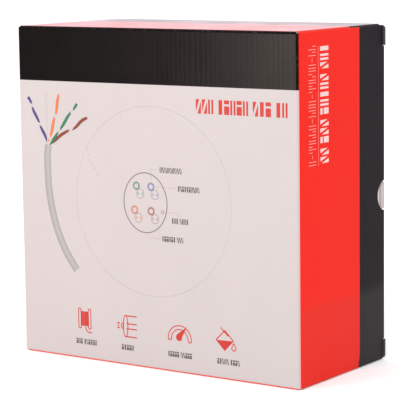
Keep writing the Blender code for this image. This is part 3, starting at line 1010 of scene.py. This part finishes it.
def lid_creases():
    """The hinge crease on the left wall and the crease of the tuck flap."""
    y = REAR - TURN
    hinge_low = BASE + TURN + GAP
    bending_crease(
        "hinge_crease", (LEFT + TURN, y, 0), (-1, 0, 0), (0, 1, 0),
        -(TOP - TURN - GAP), -hinge_low, ((black_side, 45), (black_lid, 90)), "tray", "lid",
    )
    tab_low = NOTCH_Z - TAB_HALF - GAP
    tab_high = NOTCH_Z + TAB_HALF + GAP
    for name, low, high in (("low", tuck_low.z, tab_low), ("high", tab_high, tuck_high.z)):
        bending_crease(
            f"tuck_crease_{name}", (FLAP_X - TURN, y, 0), (0, 1, 0), (1, 0, 0),
            -high, -low, ((black_lid, 40), (liner_y, 90)), "lid", "tuck_flap",
        )


# ---------------------------------------------------------------- print


def on_front(points):
    """Layout points, in millimetres from the front's upper left corner, to local ones."""
    return [(LEFT + x * MM, TOP - y * MM) for x, y in points]


def add_print(piece, shapes, material, place=ON_FRONT):
    """Thin layers of ink, each a little lower than the one before it."""
    for shape in shapes:
        piece.add(prism(shape, INK_LOW, INK_HIGH - piece.printed % 9 * INK_STEP), material, place)
        piece.printed += 1


def filler_block(x, width, low, high, kind):
    """Shapes of one abstract block of filler text, which is no letter."""
    bar = width * 0.36
    middle = low + (high - low) * 0.34
    slit = (high - low) * 0.07
    end = x + width
    if kind == 0:
        loops = [rectangle(x, low, x + bar, high), rectangle(end - bar, low, end, high)]
    elif kind == 1:
        loops = [rectangle(x, low, end, middle - slit), rectangle(x, middle + slit, end, high)]
    elif kind == 2:
        cut = width * 0.32
        lower = [(x, low), (end - cut, low), (x, high - 2 * slit)]
        upper = [(x + cut, high), (end, low + 2 * slit), (end, high)]
        loops = [lower, upper]
    else:
        loops = [rectangle(x + width * 0.15, low, end - width * 0.15, high)]
    return [[loop] for loop in loops]


def filler_line(start, end, low, high, words, gap_share=0.22, space_share=0.9):
    """Shapes of a line of filler text: words is how many blocks each word has."""
    blocks = sum(words)
    unit = (end - start) / (blocks + (blocks - len(words)) * gap_share + (len(words) - 1) * space_share)
    shapes = []
    x = start
    for word in words:
        for _ in range(word):
            shapes += filler_block(x, unit, low, high, random.randrange(4))
            x += unit * (1 + gap_share)
        x += unit * (space_share - gap_share)
    return shapes


def laid_out(shapes, right=0, down=0):
    """Layout shapes in millimetres as local ones on the front, moved right and down."""
    return [[on_front([(x + right, y + down) for x, y in loop]) for loop in shape] for shape in shapes]


# Lines of filler: start, end, upper and lower edge in millimetres, and the words' blocks
HEADLINE = (137.8, 202.4, 41.35, 49.95, (3, 5, 3, 2))

CAPTIONS = (
    (42.6, 58.9, 197.0, 200.4, (3, 6)),
    (78.7, 88.2, 197.0, 200.4, (5,)),
    (114.5, 132.3, 197.0, 200.4, (5, 5)),
    (151.1, 167.3, 197.2, 200.6, (5, 4)),
)

LABELS = (
    (110.3, 126.5, 83.9, 87.3, (9,)),
    (123.6, 139.5, 94.6, 98.0, (10,)),
    (118.8, 131.0, 114.5, 117.9, (3, 4)),
    (111.5, 127.1, 126.1, 129.4, (6, 3)),
)

LEADERS = (
    ((103.6, 92.5), (103.6, 85.6), (109.0, 85.6)),
    ((106.4, 96.2), (122.3, 96.2)),
    ((113.3, 111.3), (123.3, 111.3), (123.3, 113.7)),
    ((100.3, 125.8), (100.3, 127.9), (110.7, 127.9)),
)


def spool_icon():
    """A spool: two narrow flanges, a wound block with light lines, a loose end."""
    shapes = []
    for x in (45.1, 52.9):
        end = arc((x, 179.1), 1.0, 180, 360, 8) + arc((x, 189.8), 1.0, 0, 180, 8)
        shapes.append(stroke(end, 0.7, True))
    for x in (46.3, 47.7, 49.1, 50.5):
        shapes.append([rectangle(x, 179.8, x + 1.32, 189.2)])
    tail = smooth_path([(49.7, 189.4), (50.0, 191.4), (51.6, 192.8), (54.6, 193.0)], 6)
    shapes.append(stroke(tail, 0.7))
    return shapes


def gauge_icon():
    """A stripped cable seen from the side, with a dimension mark."""
    shapes = [ring((81.6, 185.5), 1.8, 6.8, 0.75, 32), ring((79.2, 185.5), 0.9, 1.6, 0.7, 20)]
    for y in (178.9, 183.9, 187.1, 192.1):
        shapes.append(stroke([(82.3, y), (90.3, y)], 0.75))
    for y in (183.9, 187.1):
        shapes.append(stroke([(75.0, y), (77.2, y)], 0.6))
    shapes.append(stroke([(76.1, 184.2), (76.1, 186.8)], 0.6))
    return shapes


def speed_icon():
    """A dial: a thick open arc and a filled needle."""
    centre = (123.8, 190.0)
    outer = arc(centre, 8.7, 176, 360, 28)
    inner = arc(centre, 6.3, 360, 176, 20)
    tip = arc((centre[0] + 7.5, centre[1]), 1.2, 0, 180, 6)
    needle = [(129.2, 181.6), *arc((123.3, 188.6), 2.3, -10, 230, 12)]
    return [stroke(outer[:-1] + tip + inner[1:], 0.65, True), [needle]]


def paint_icon():
    """A tilted square pot, half full, with its handle and a drop."""
    pot = [(150.9, 186.4), (157.2, 180.3), (163.2, 186.1), (157.0, 192.4)]
    drop = [(163.6, 187.4), *arc((163.6, 190.6), 1.5, -20, 200, 12)]
    return [
        stroke(pot, 0.7, True),
        [[(151.4, 186.6), (163.0, 186.3), (157.0, 192.1)]],
        stroke([(154.2, 178.7), (159.6, 183.6)], 0.7),
        stroke(drop, 0.65, True),
    ]


# Name, colour, distance to the first gap in the colour, length of a twist, both in
# millimetres, and the route from the jacket to the tip
PAIRS = (
    (
        "pair_blue", (0.034, 0.035, 0.135), 14.5, 13.1,
        ((22.2, 75.2), (20.8, 69.6), (17.8, 63.8), (14.8, 59.0), (12.0, 53.4), (9.8, 48.8), (7.4, 45.2)),
    ),
    (
        "pair_orange", (0.52, 0.115, 0.024), 17.9, 15.0,
        ((23.4, 73.0), (26.0, 66.2), (28.4, 59.4), (30.2, 52.6), (31.6, 47.2), (33.1, 42.2)),
    ),
    (
        "pair_green", (0.005, 0.125, 0.056), 12.5, 16.7,
        ((24.0, 74.8), (29.8, 69.0), (34.6, 62.4), (40.0, 56.2), (44.0, 51.4), (46.8, 47.8)),
    ),
    (
        "pair_brown", (0.145, 0.024, 0.013), 20.3, 19.0,
        ((24.8, 75.2), (31.0, 69.8), (38.0, 66.2), (44.4, 63.2), (49.8, 59.0), (55.2, 56.6)),
    ),
)
# Colours of each printed round thing: at its edges, over its body and on its highlight
PRINTED_JACKET = ((0.215, 0.212, 0.207), (0.272, 0.272, 0.262), (0.305, 0.305, 0.295))
PRINTED_WHITE = ((0.33, 0.31, 0.305), (0.41, 0.39, 0.385), (0.45, 0.43, 0.425))
PRINTED_CORD = ((0.30, 0.29, 0.29), (0.36, 0.35, 0.35), (0.42, 0.41, 0.41))
JACKET_WIDTH = 5.3 * MM
COLOUR_WIDTH = 2.1 * MM
WHITE_WIDTH = 0.9 * MM
COLOUR_SWING = 0.3 * MM
WHITE_SWING = 0.6 * MM


def strip_faces(count, columns):
    """Faces of a closed strip: two layers of count rows, each of columns + 1 vertices."""
    row = columns + 1
    layer = row * count
    faces = []
    for i in range(count - 1):
        for j in range(columns):
            a = i * row + j
            faces.append((a, a + 1, a + row + 1, a + row))
            faces.append((a + layer, a + layer + row, a + layer + row + 1, a + layer + 1))
        for j in (0, columns):
            a = i * row + j
            faces.append((a, a + row, a + row + layer, a + layer))
    for i in (0, count - 1):
        for j in range(columns):
            a = i * row + j
            faces.append((a, a + layer, a + layer + 1, a + 1))
    return faces


def add_ribbon(piece, points, halves, low, heights, material, columns=8):
    """A printed strip with its "across" attribute running from 0 to 1 over its width."""
    left, right = sides_of(points, halves)
    verts = []
    values = []
    for top in (True, False):
        for i in range(len(points)):
            for j in range(columns + 1):
                share = j / columns
                x = left[i][0] + (right[i][0] - left[i][0]) * share
                y = left[i][1] + (right[i][1] - left[i][1]) * share
                verts.append((x, y, heights[i] if top else low))
                values.append(share)
    solid = (verts, strip_faces(len(points), columns))
    piece.add(solid, material, ON_FRONT, "across", values)


def twisted_pair(piece, colour_look, white_look, route, gap, twist):
    """Two printed strands twisted together: the white one covers the coloured at each gap."""
    path = smooth_path(on_front(route), 14)
    travelled = [0.0]
    for a, b in zip(path, path[1:]):
        travelled.append(travelled[-1] + (Vector(b) - Vector(a)).length / MM)
    phases = [math.pi + 2 * math.pi * (s - gap) / twist for s in travelled]
    root = [min(1.0, 0.4 + s / 8) for s in travelled]
    shown = [abs(math.cos(p / 2)) ** 0.5 for p in phases]
    colour_halves = [COLOUR_WIDTH / 2 * t * (0.2 + 0.8 * c) for t, c in zip(root, shown)]
    white_halves = [WHITE_WIDTH / 2 * t for t in root]
    left, _ = sides_of(path, [1.0] * len(path))
    for sign, look, halves, swing in (
        (1, colour_look, colour_halves, COLOUR_SWING),
        (-1, white_look, white_halves, WHITE_SWING),
    ):
        points = []
        for centre, side, phase in zip(path, left, phases):
            across = (Vector(side) - Vector(centre)).normalized()
            points.append(tuple(Vector(centre) + across * sign * swing * math.sin(phase)))
        # the coloured strand lies on top for most of each turn
        heights = [INK_HIGH - 0.02 * MM + sign * 0.012 * MM * (0.8 + math.cos(p)) for p in phases]
        add_ribbon(piece, points, halves, INK_LOW, heights, look, 4)


def printed_cable():
    """The picture of a cable on the front: a grey jacket and four opened pairs."""
    piece = Piece("print_cable")
    jacket_look = shaded_look("printed_jacket", *PRINTED_JACKET)
    route = [
        (23.2, 75.3), (22.3, 82.4), (22.4, 92.2), (23.0, 103.0), (25.3, 116.0),
        (29.5, 129.6), (35.4, 141.4), (40.4, 148.4), (44.2, 153.3),
    ]
    path = smooth_path(on_front(route), 8)
    halves = [JACKET_WIDTH / 2] * len(path)
    heights = [INK_HIGH] * len(path)
    white_look = shaded_look("printed_white", *PRINTED_WHITE)
    cord_look = shaded_look("printed_cord", *PRINTED_CORD)
    for name, colour, gap, twist, pair_route in PAIRS:
        look = shaded_look(name, scaled(colour, 0.6), colour, scaled(colour, 1.35))
        twisted_pair(piece, look, white_look, pair_route, gap, twist)
    cord = smooth_path(on_front([(22.6, 72.6), (22.7, 62.6), (22.4, 52.6), (22.0, 42.0)]), 8)
    cord_heights = [INK_HIGH - 0.03 * MM] * len(cord)
    cord_halves = [(0.3 + 0.5 * i / len(cord)) * MM for i in range(len(cord))]
    add_ribbon(piece, cord, cord_halves, INK_LOW, cord_heights, cord_look, 2)
    add_ribbon(piece, path, halves, INK_LOW, heights, jacket_look)
    piece.build("tray")


CORES = (
    ("core_green", (0.055, 0.19, 0.125), (92.3, 96.4)),
    ("core_blue", (0.12, 0.15, 0.32), (103.4, 96.4)),
    ("core_orange", (0.46, 0.14, 0.08), (90.7, 111.4)),
    ("core_brown", (0.26, 0.085, 0.07), (103.3, 111.4)),
)


def finger_tab(piece):
    """The short perforated curve inside the disc, where a finger pushes first."""
    route = smooth_path([(54.1, 74.8), (55.7, 81.3), (59.1, 86.3), (63.7, 92.3)], 6)
    cuts = []
    for start in range(1, len(route) - 1, 3):
        a = Vector(route[start])
        along = (Vector(route[start + 1]) - a).normalized()
        cuts.append(stroke([tuple(a), tuple(a + along * 1.2)], 0.2))
    add_print(piece, laid_out(cuts), cut_shade)


def knockout_print():
    """The cable's cross-section with its labels, printed on the knock-out disc."""
    piece = Piece("print_section")
    add_print(piece, laid_out([ring((99.0, 106.5), 16.4, 18.5, 0.7, 72)]), ring_ink)
    for name, colour, (x, y) in CORES:
        look = ink_look(name, colour)
        mate = (x + 2.9, y + 4.7)
        shapes = [ring((x, y), 1.9, 1.9, 0.75, 28)]
        for start in (-30, 150):
            shapes.append(stroke(arc(mate, 1.6, start, start + 60, 8), 0.6))
        add_print(piece, laid_out(shapes), look)
        outlines = [ring((x, y), 2.55, 2.55, 0.28, 32), ring(mate, 2.85, 2.85, 0.3, 32)]
        add_print(piece, laid_out(outlines), ring_ink)
    add_print(piece, laid_out([ring((111.8, 111.4), 0.95, 0.95, 0.3, 20)]), grey_ink)
    leaders = [stroke(list(line), 0.22) for line in LEADERS]
    add_print(piece, laid_out(leaders), line_ink)
    labels = [shape for label in LABELS for shape in filler_line(*label)]
    add_print(piece, laid_out(labels), grey_ink)
    finger_tab(piece)
    piece.build("knockout")


def front_print():
    """The headline, the four pictograms and their captions."""
    piece = Piece("print_front")
    add_print(piece, laid_out(filler_line(*HEADLINE)), red_ink)
    icons = (
        (spool_icon(), 0.6, -0.5),
        (gauge_icon(), 0.4, -0.3),
        (speed_icon(), -0.4, -0.8),
        (paint_icon(), -0.4, -0.5),
    )
    for icon, right, down in icons:
        add_print(piece, laid_out(icon, right, down), red_ink)
    captions = [shape for caption in CAPTIONS for shape in filler_line(*caption)]
    add_print(piece, laid_out(captions), grey_ink)
    piece.build("tray")


def thin_line(start, low, high, words):
    """Shapes of a line of light filler text: loose pairs of bars, with dashes between words."""
    middle = (low + high) / 2
    spans = (((low, high), (low, high)), ((low, high), (low, middle)), ((middle, high), (low, high)))
    shapes = []
    for word in words:
        for _ in range(word):
            for x, span in zip((start, start + 1.9), random.choice(spans)):
                shapes.append(stroke([(x, span[0]), (x, span[1])], 0.38))
            start += 3.45
        shapes.append(stroke([(start, middle), (start + 2.2, middle)], 0.4))
        start += 3.9
    return shapes[:-1]


def side_print(name, place, near, direction):
    """White filler text down a side wall: near is its front edge in local X."""
    piece = Piece(name)

    def turned(shapes):
        # the lines read downwards: their length runs from the top edge
        return [
            [[(near + direction * a * MM, TOP - b * MM) for b, a in loop] for loop in shape]
            for shape in shapes
        ]

    add_print(piece, turned(filler_line(9.2, 78.4, 23.8, 33.0, (3, 5, 3, 2), 0.34)), white_ink, place)
    add_print(piece, turned([stroke([(9.5, 21.7), (79.6, 21.7)], 0.24)]), pink_ink, place)
    add_print(piece, turned(thin_line(9.3, 11.0, 18.9, (2, 5, 3, 5, 1))), pink_ink, place)
    piece.build("tray")


def lid_print():
    """A modest rear print: a red rule and pale filler text."""
    piece = Piece("print_lid")
    centre = -MIDDLE.x
    for i, words in enumerate(((4, 6, 3, 5), (6, 2, 7, 4), (3, 5, 5, 3))):
        low = TOP - (150 + 8 * i) * MM
        line = filler_line(-70, 10 - 9 * i, 0, 3.2, words)
        shapes = [[[(centre + x * MM, low + z * MM) for x, z in loop] for loop in shape] for shape in line]
        add_print(piece, shapes, line_ink, ON_REAR)
    rule = rectangle(centre - 70 * MM, TOP - 140 * MM, centre + 70 * MM, TOP - 138.8 * MM)
    add_print(piece, [[rule]], red_ink, ON_REAR)
    piece.build("lid")


# ---------------------------------------------------------------- bridges and axle


def bridge(name, node, side):
    """A folded kraft strip: web, two creases and two feet."""
    low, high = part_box(node)
    piece = Piece(name)
    half = high.x
    outer_y = low.y if side < 0 else high.y
    inner_y = outer_y - side * BRIDGE_TURN
    foot_end = high.y if side < 0 else low.y
    web = plane((0, outer_y, 0), (-side, 0, 0), (0, 0, 1))
    hole = ellipse((0, MIDDLE.z), BRIDGE_HOLE, BRIDGE_HOLE, 48)
    loops = [rectangle(-half, low.z + BRIDGE_TURN, half, high.z - BRIDGE_TURN), hole]
    look = (kraft_board, kraft_core)
    add_board(piece, web, loops, ((kraft_board, loops),), *look, True, BRIDGE_BOARD, BRIDGE_PITCH)
    for direction, z in ((1, high.z), (-1, low.z)):
        place = plane((0, 0, z), (1, 0, 0), (0, direction, 0))
        ends = sorted((direction * inner_y, direction * foot_end))
        foot = [rectangle(-half, ends[0], half, ends[1])]
        add_board(piece, place, foot, ((kraft_board, foot),), *look, True, BRIDGE_BOARD, BRIDGE_PITCH)
        centre = (0, inner_y, z - direction * BRIDGE_TURN)
        inks = ((kraft_board, 90),)
        turn = ((0, side, 0), (0, 0, direction))
        add_crease(piece, centre, *turn, -half, half, inks, *look, BRIDGE_BOARD)
    piece.build("tray", [node], 40)


def axle_seat(name, node, side):
    """A moulded ring: eased edges, a raised collar and ribs on its flange."""
    ease = 0.3 * MM
    flange_y = bridge_low.y + BRIDGE_TURN
    spigot_end = seat_low.y
    inner_y = flange_y + 1.2 * MM
    hub_end = seat_high.y
    bore = 6 * MM
    spigot = BRIDGE_HOLE - GAP
    hub = 9.2 * MM
    rim = seat_high.x
    profile = [
        (bore, spigot_end), (spigot - ease, spigot_end), (spigot, spigot_end + ease),
        (spigot, flange_y), (rim - ease, flange_y), (rim, flange_y + ease),
        (rim, inner_y - ease), (rim - ease, inner_y), (hub, inner_y),
        (hub, hub_end - ease), (hub - ease, hub_end), (bore, hub_end),
    ]
    mirror = -side
    profile = [(r, mirror * y) for r, y in profile]
    piece = Piece(name)
    piece.add(lathe(profile, 72), white_plastic)
    for i in range(8):
        turn = Matrix.Rotation(math.radians(45 * i + 22.5), 4, "Y")
        place = Matrix.Translation(MIDDLE) @ turn
        lows = sorted((mirror * (inner_y - 0.2 * MM), mirror * (inner_y + 0.25 * MM)))
        rib = [
            (x, y, z)
            for z in (hub - ease, rim - 1.5 * MM)
            for x, y in ((-0.5 * MM, lows[0]), (0.5 * MM, lows[0]), (0.5 * MM, lows[1]), (-0.5 * MM, lows[1]))
        ]
        box_faces = [(0, 1, 2, 3), (7, 6, 5, 4), (0, 4, 5, 1), (1, 5, 6, 2), (2, 6, 7, 3), (3, 7, 4, 0)]
        piece.add((rib, box_faces), white_plastic, place)
    piece.build("tray", [node], 30)


# ---------------------------------------------------------------- spool

WINDOWS = 6
RIBS = 12
WINDOW_INNER = 44 * MM
WINDOW_OUTER = 62 * MM
WINDOW_HALF_ANGLE = 15
HUB_BORE = 13 * MM


def window_outline(middle, grow=0.0):
    """A kidney-shaped window about the spool's centre, at an angle in degrees."""
    inner = WINDOW_INNER - grow
    outer = WINDOW_OUTER + grow
    start = middle - WINDOW_HALF_ANGLE
    end = middle + WINDOW_HALF_ANGLE
    mid = (inner + outer) / 2
    end_radius = (outer - inner) / 2
    centre_start = arc((0, 0), mid, start, start, 1)[0]
    centre_end = arc((0, 0), mid, end, end, 1)[0]
    return [
        *arc((0, 0), outer, start, end, 12),
        *arc(centre_end, end_radius, end, end + 180, 12)[1:-1],
        *arc((0, 0), inner, end, start, 12),
        *arc(centre_start, end_radius, start + 180, start + 360, 12)[1:-1],
    ]


def flange(name, node, side):
    """A moulded flange: eased rim, stepped hub, ribs, and lipped windows."""
    low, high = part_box(node)
    outer = high.y if side > 0 else -low.y
    spigot_end = low.y if side > 0 else -high.y
    inner = outer - 3 * MM
    plate = inner + 2 * MM
    radius = high.x
    ease = 0.6 * MM
    profile = [
        (HUB_BORE, outer), (27 * MM, outer), (28 * MM, outer - ease),
        (30 * MM, plate), (radius - 4.5 * MM, plate), (radius - 3.2 * MM, outer - 0.2 * MM),
        (radius - 2.6 * MM, outer), (radius - ease, outer), (radius, outer - ease),
        (radius, inner + ease), (radius - ease, inner),
        (24.7 * MM, inner), (24.7 * MM, spigot_end), (HUB_BORE, spigot_end),
    ]
    profile = [(r, side * y) for r, y in profile]
    place = plane((0, 0, MIDDLE.z), (-side, 0, 0), (0, 0, 1))
    verts = []
    faces = []
    for i in range(WINDOWS):
        part_verts, part_faces = prism([window_outline(360 * i / WINDOWS)], inner - 2 * MM, outer + 2 * MM)
        faces += [tuple(index + len(verts) for index in face) for face in part_faces]
        verts += [tuple(place @ Vector(v)) for v in part_verts]
    cutter = (verts, faces)
    piece = Piece(name)
    piece.add(boolean(lathe(profile, 128), cutter, "DIFFERENCE"), black_plastic)
    for i in range(WINDOWS):
        lip = [window_outline(360 * i / WINDOWS, 1.2 * MM), window_outline(360 * i / WINDOWS)]
        piece.add(prism(lip, plate - 0.3 * MM, plate + 0.6 * MM), black_plastic, place)
    half = 0.8 * MM
    for i in range(RIBS):
        # every second rib meets a window and starts beyond it
        turn = Matrix.Rotation(2 * math.pi * i / RIBS, 4, "Z")
        start = WINDOW_OUTER + 2 * MM if i % 2 == 0 else 29 * MM
        rib = prism([rectangle(start, -half, radius - 4 * MM, half)], plate - 0.3 * MM, plate + 0.9 * MM)
        piece.add(rib, black_plastic, place @ turn)
    piece.build("spool", [node], 30)


def cable_pack():
    """The wound cable: rounded turns outside, staggered layers on both sides."""
    outer = winding_high.x
    half = winding_high.y
    inner = core_high.x + GAP
    turns = 16
    pitch = 2 * half / turns
    radius = pitch / 2
    layers = 13
    rise = (outer - inner) / layers
    profile = []
    for i in range(layers):
        depth = 0 if i % 2 == 0 else radius
        centre = (inner + rise * (i + 0.5), -half + radius + depth)
        steps = arc(centre, min(radius, rise / 2), 180, 360, 6)
        profile += [(x, min(y, -half + radius + depth)) for x, y in steps][1:-1]
    for i in range(turns):
        centre = (outer - radius, -half + pitch * (i + 0.5))
        profile += arc(centre, radius, -80, 80, 6)
    profile += [(x, -y) for x, y in reversed(profile[: layers * 5])]
    profile += [(inner, half * 0.9), (inner, -half * 0.9)]
    piece = Piece("cable_turns")
    piece.add(lathe(profile, 128), grey_jacket)
    piece.build("spool", ["cable_winding"], 50)


def tape():
    """A strip of clear tape over the last turns, its ends cut in a zigzag."""
    radius = winding_high.x + 0.12 * MM
    half = tape_high.y
    spread = 25
    steps = 20
    teeth = 10
    verts = []
    for lift in (0, 0.12 * MM):
        for i in range(steps + 1):
            for j in range(teeth + 1):
                angle = math.radians(90 - spread + 2 * spread * i / steps)
                if i in (0, steps) and j % 2:
                    angle += math.radians(0.5 if i == 0 else -0.5)
                r = radius + lift + 0.08 * MM * math.cos(2 * math.pi * j / 4)
                y = -half + 2 * half * j / teeth
                verts.append((r * math.cos(angle), y, MIDDLE.z + r * math.sin(angle)))
    piece = Piece("winding_tape")
    piece.add((verts, strip_faces(steps + 1, teeth)), clear_tape)
    piece.build("spool", ["end_tape"], 40)


def paint_cad_nodes():
    """CAD nodes whose shape is right keep it and get a finished material."""
    looks = {"axle_tube": tube_paper, "core_tube": core_tube_paper}
    for node, look in looks.items():
        obj = frame["nodes"][node]
        obj.data.materials.clear()
        obj.data.materials.append(look)


# ---------------------------------------------------------------- stage, light, camera

FLOOR_SIZE = 60.0
FLOOR_GLOW = 0.11
FLOOR_COLOUR = (0.88, 0.99, 0.94, 1)
SKY_COLOUR = (1.0, 0.88, 0.935, 1)
SKY_STRENGTH = 1.275
KEY_COLOUR = (1.0, 0.84, 0.76)

# Camera: angles in degrees; distance and shifts in heights of the carton; lens in millimetres
CAMERA_AZIMUTH = 35.16
CAMERA_ELEVATION = 8.03
CAMERA_ROLL = -0.77
CAMERA_DISTANCE = 5.68
CAMERA_RIGHT = -0.0006
CAMERA_UP = 0.0257
CAMERA_LENS = 170.2


def floor():
    """A plain pale floor that glows a little."""
    mesh = bpy.data.meshes.new("floor")
    half = FLOOR_SIZE / 2
    corners = [(x, y, 0) for x, y in rectangle(-half, -half, half, half)]
    mesh.from_pydata(corners, [], [(0, 1, 2, 3)])
    mat, _, shader = new_look("floor", 0.9, Specular_IOR_Level=0.1)
    shader.inputs["Base Color"].default_value = FLOOR_COLOUR
    shader.inputs["Emission Color"].default_value = (1, 1, 1, 1)
    shader.inputs["Emission Strength"].default_value = FLOOR_GLOW
    mesh.materials.append(mat)
    obj = new_object("floor", mesh)


def world():
    """An even pale surround."""
    sky = bpy.data.worlds.new("studio")
    sky.use_nodes = True
    background = sky.node_tree.nodes["Background"]
    background.inputs[0].default_value = SKY_COLOUR
    background.inputs[1].default_value = SKY_STRENGTH
    bpy.context.scene.world = sky


def backwards(azimuth, elevation):
    """The way from the carton to a light or camera; azimuth 0 is in front, 90 at the right."""
    a = math.radians(azimuth)
    e = math.radians(elevation)
    return Vector((math.sin(a) * math.cos(e), -math.cos(a) * math.cos(e), math.sin(e)))


def softbox(name, azimuth, elevation, distance, width, height, power, colour=(1, 1, 1)):
    """A rectangular area light aimed at the carton, which the camera doesn't see."""
    back = backwards(azimuth, elevation)
    lamp = bpy.data.lights.new(name, "AREA")
    lamp.shape = "RECTANGLE"
    lamp.size = width
    lamp.size_y = height
    lamp.energy = power
    lamp.color = colour
    obj = bpy.data.objects.new(name, lamp)
    obj.location = MIDDLE + back * distance
    obj.rotation_euler = back.to_track_quat("Z", "Y").to_euler()
    obj.visible_camera = False
    bpy.context.scene.collection.objects.link(obj)


def camera():
    """A long lens at the right of the front, a little above the middle."""
    azimuth = math.radians(CAMERA_AZIMUTH)
    roll = math.radians(CAMERA_ROLL)
    distance = CAMERA_DISTANCE * (TOP - BASE)
    shift_right = CAMERA_RIGHT * (TOP - BASE)
    shift_up = CAMERA_UP * (TOP - BASE)
    back = backwards(CAMERA_AZIMUTH, CAMERA_ELEVATION)
    right = Vector((math.cos(azimuth), math.sin(azimuth), 0))
    up = back.cross(right)
    rolled_right = right * math.cos(roll) + up * math.sin(roll)
    rolled_up = up * math.cos(roll) - right * math.sin(roll)
    data = bpy.data.cameras.new("camera")
    data.lens = CAMERA_LENS
    data.sensor_width = 36
    data.clip_end = 100
    obj = bpy.data.objects.new("camera", data)
    matrix = Matrix((rolled_right, rolled_up, back)).transposed().to_4x4()
    matrix.translation = MIDDLE - rolled_right * shift_right - rolled_up * shift_up + back * distance
    obj.matrix_world = matrix
    bpy.context.scene.collection.objects.link(obj)
    bpy.context.scene.camera = obj


front_panel()
level_wall("carton_top", ON_TOP, "top_wall")
level_wall("carton_base", ON_BASE, "bottom_wall")
right_wall()
left_wall()
corner_flaps()
knockout()
lid_panel()
lid_wings()
tuck_flap()
lid_creases()
front_print()
knockout_print()
printed_cable()
side_print("print_right", ON_RIGHT, FRONT, 1)
side_print("print_left", ON_LEFT, WALL_END, -1)
lid_print()
bridge("bridge_front", "front_bridge", -1)
bridge("bridge_rear", "rear_bridge", 1)
axle_seat("seat_front", "axle_seat_front", -1)
axle_seat("seat_rear", "axle_seat_rear", 1)
flange("spool_flange_front", "flange_front", -1)
flange("spool_flange_rear", "flange_rear", 1)
cable_pack()
tape()
paint_cad_nodes()

floor()
world()
softbox("key", -23.5, 6, distance=1.3, width=0.24, height=0.5, power=8.0, colour=KEY_COLOUR)
softbox("fill", 32, 32, distance=1.1, width=0.3, height=0.3, power=2.5)
camera()
bpy.context.scene.view_settings.view_transform = "Standard"
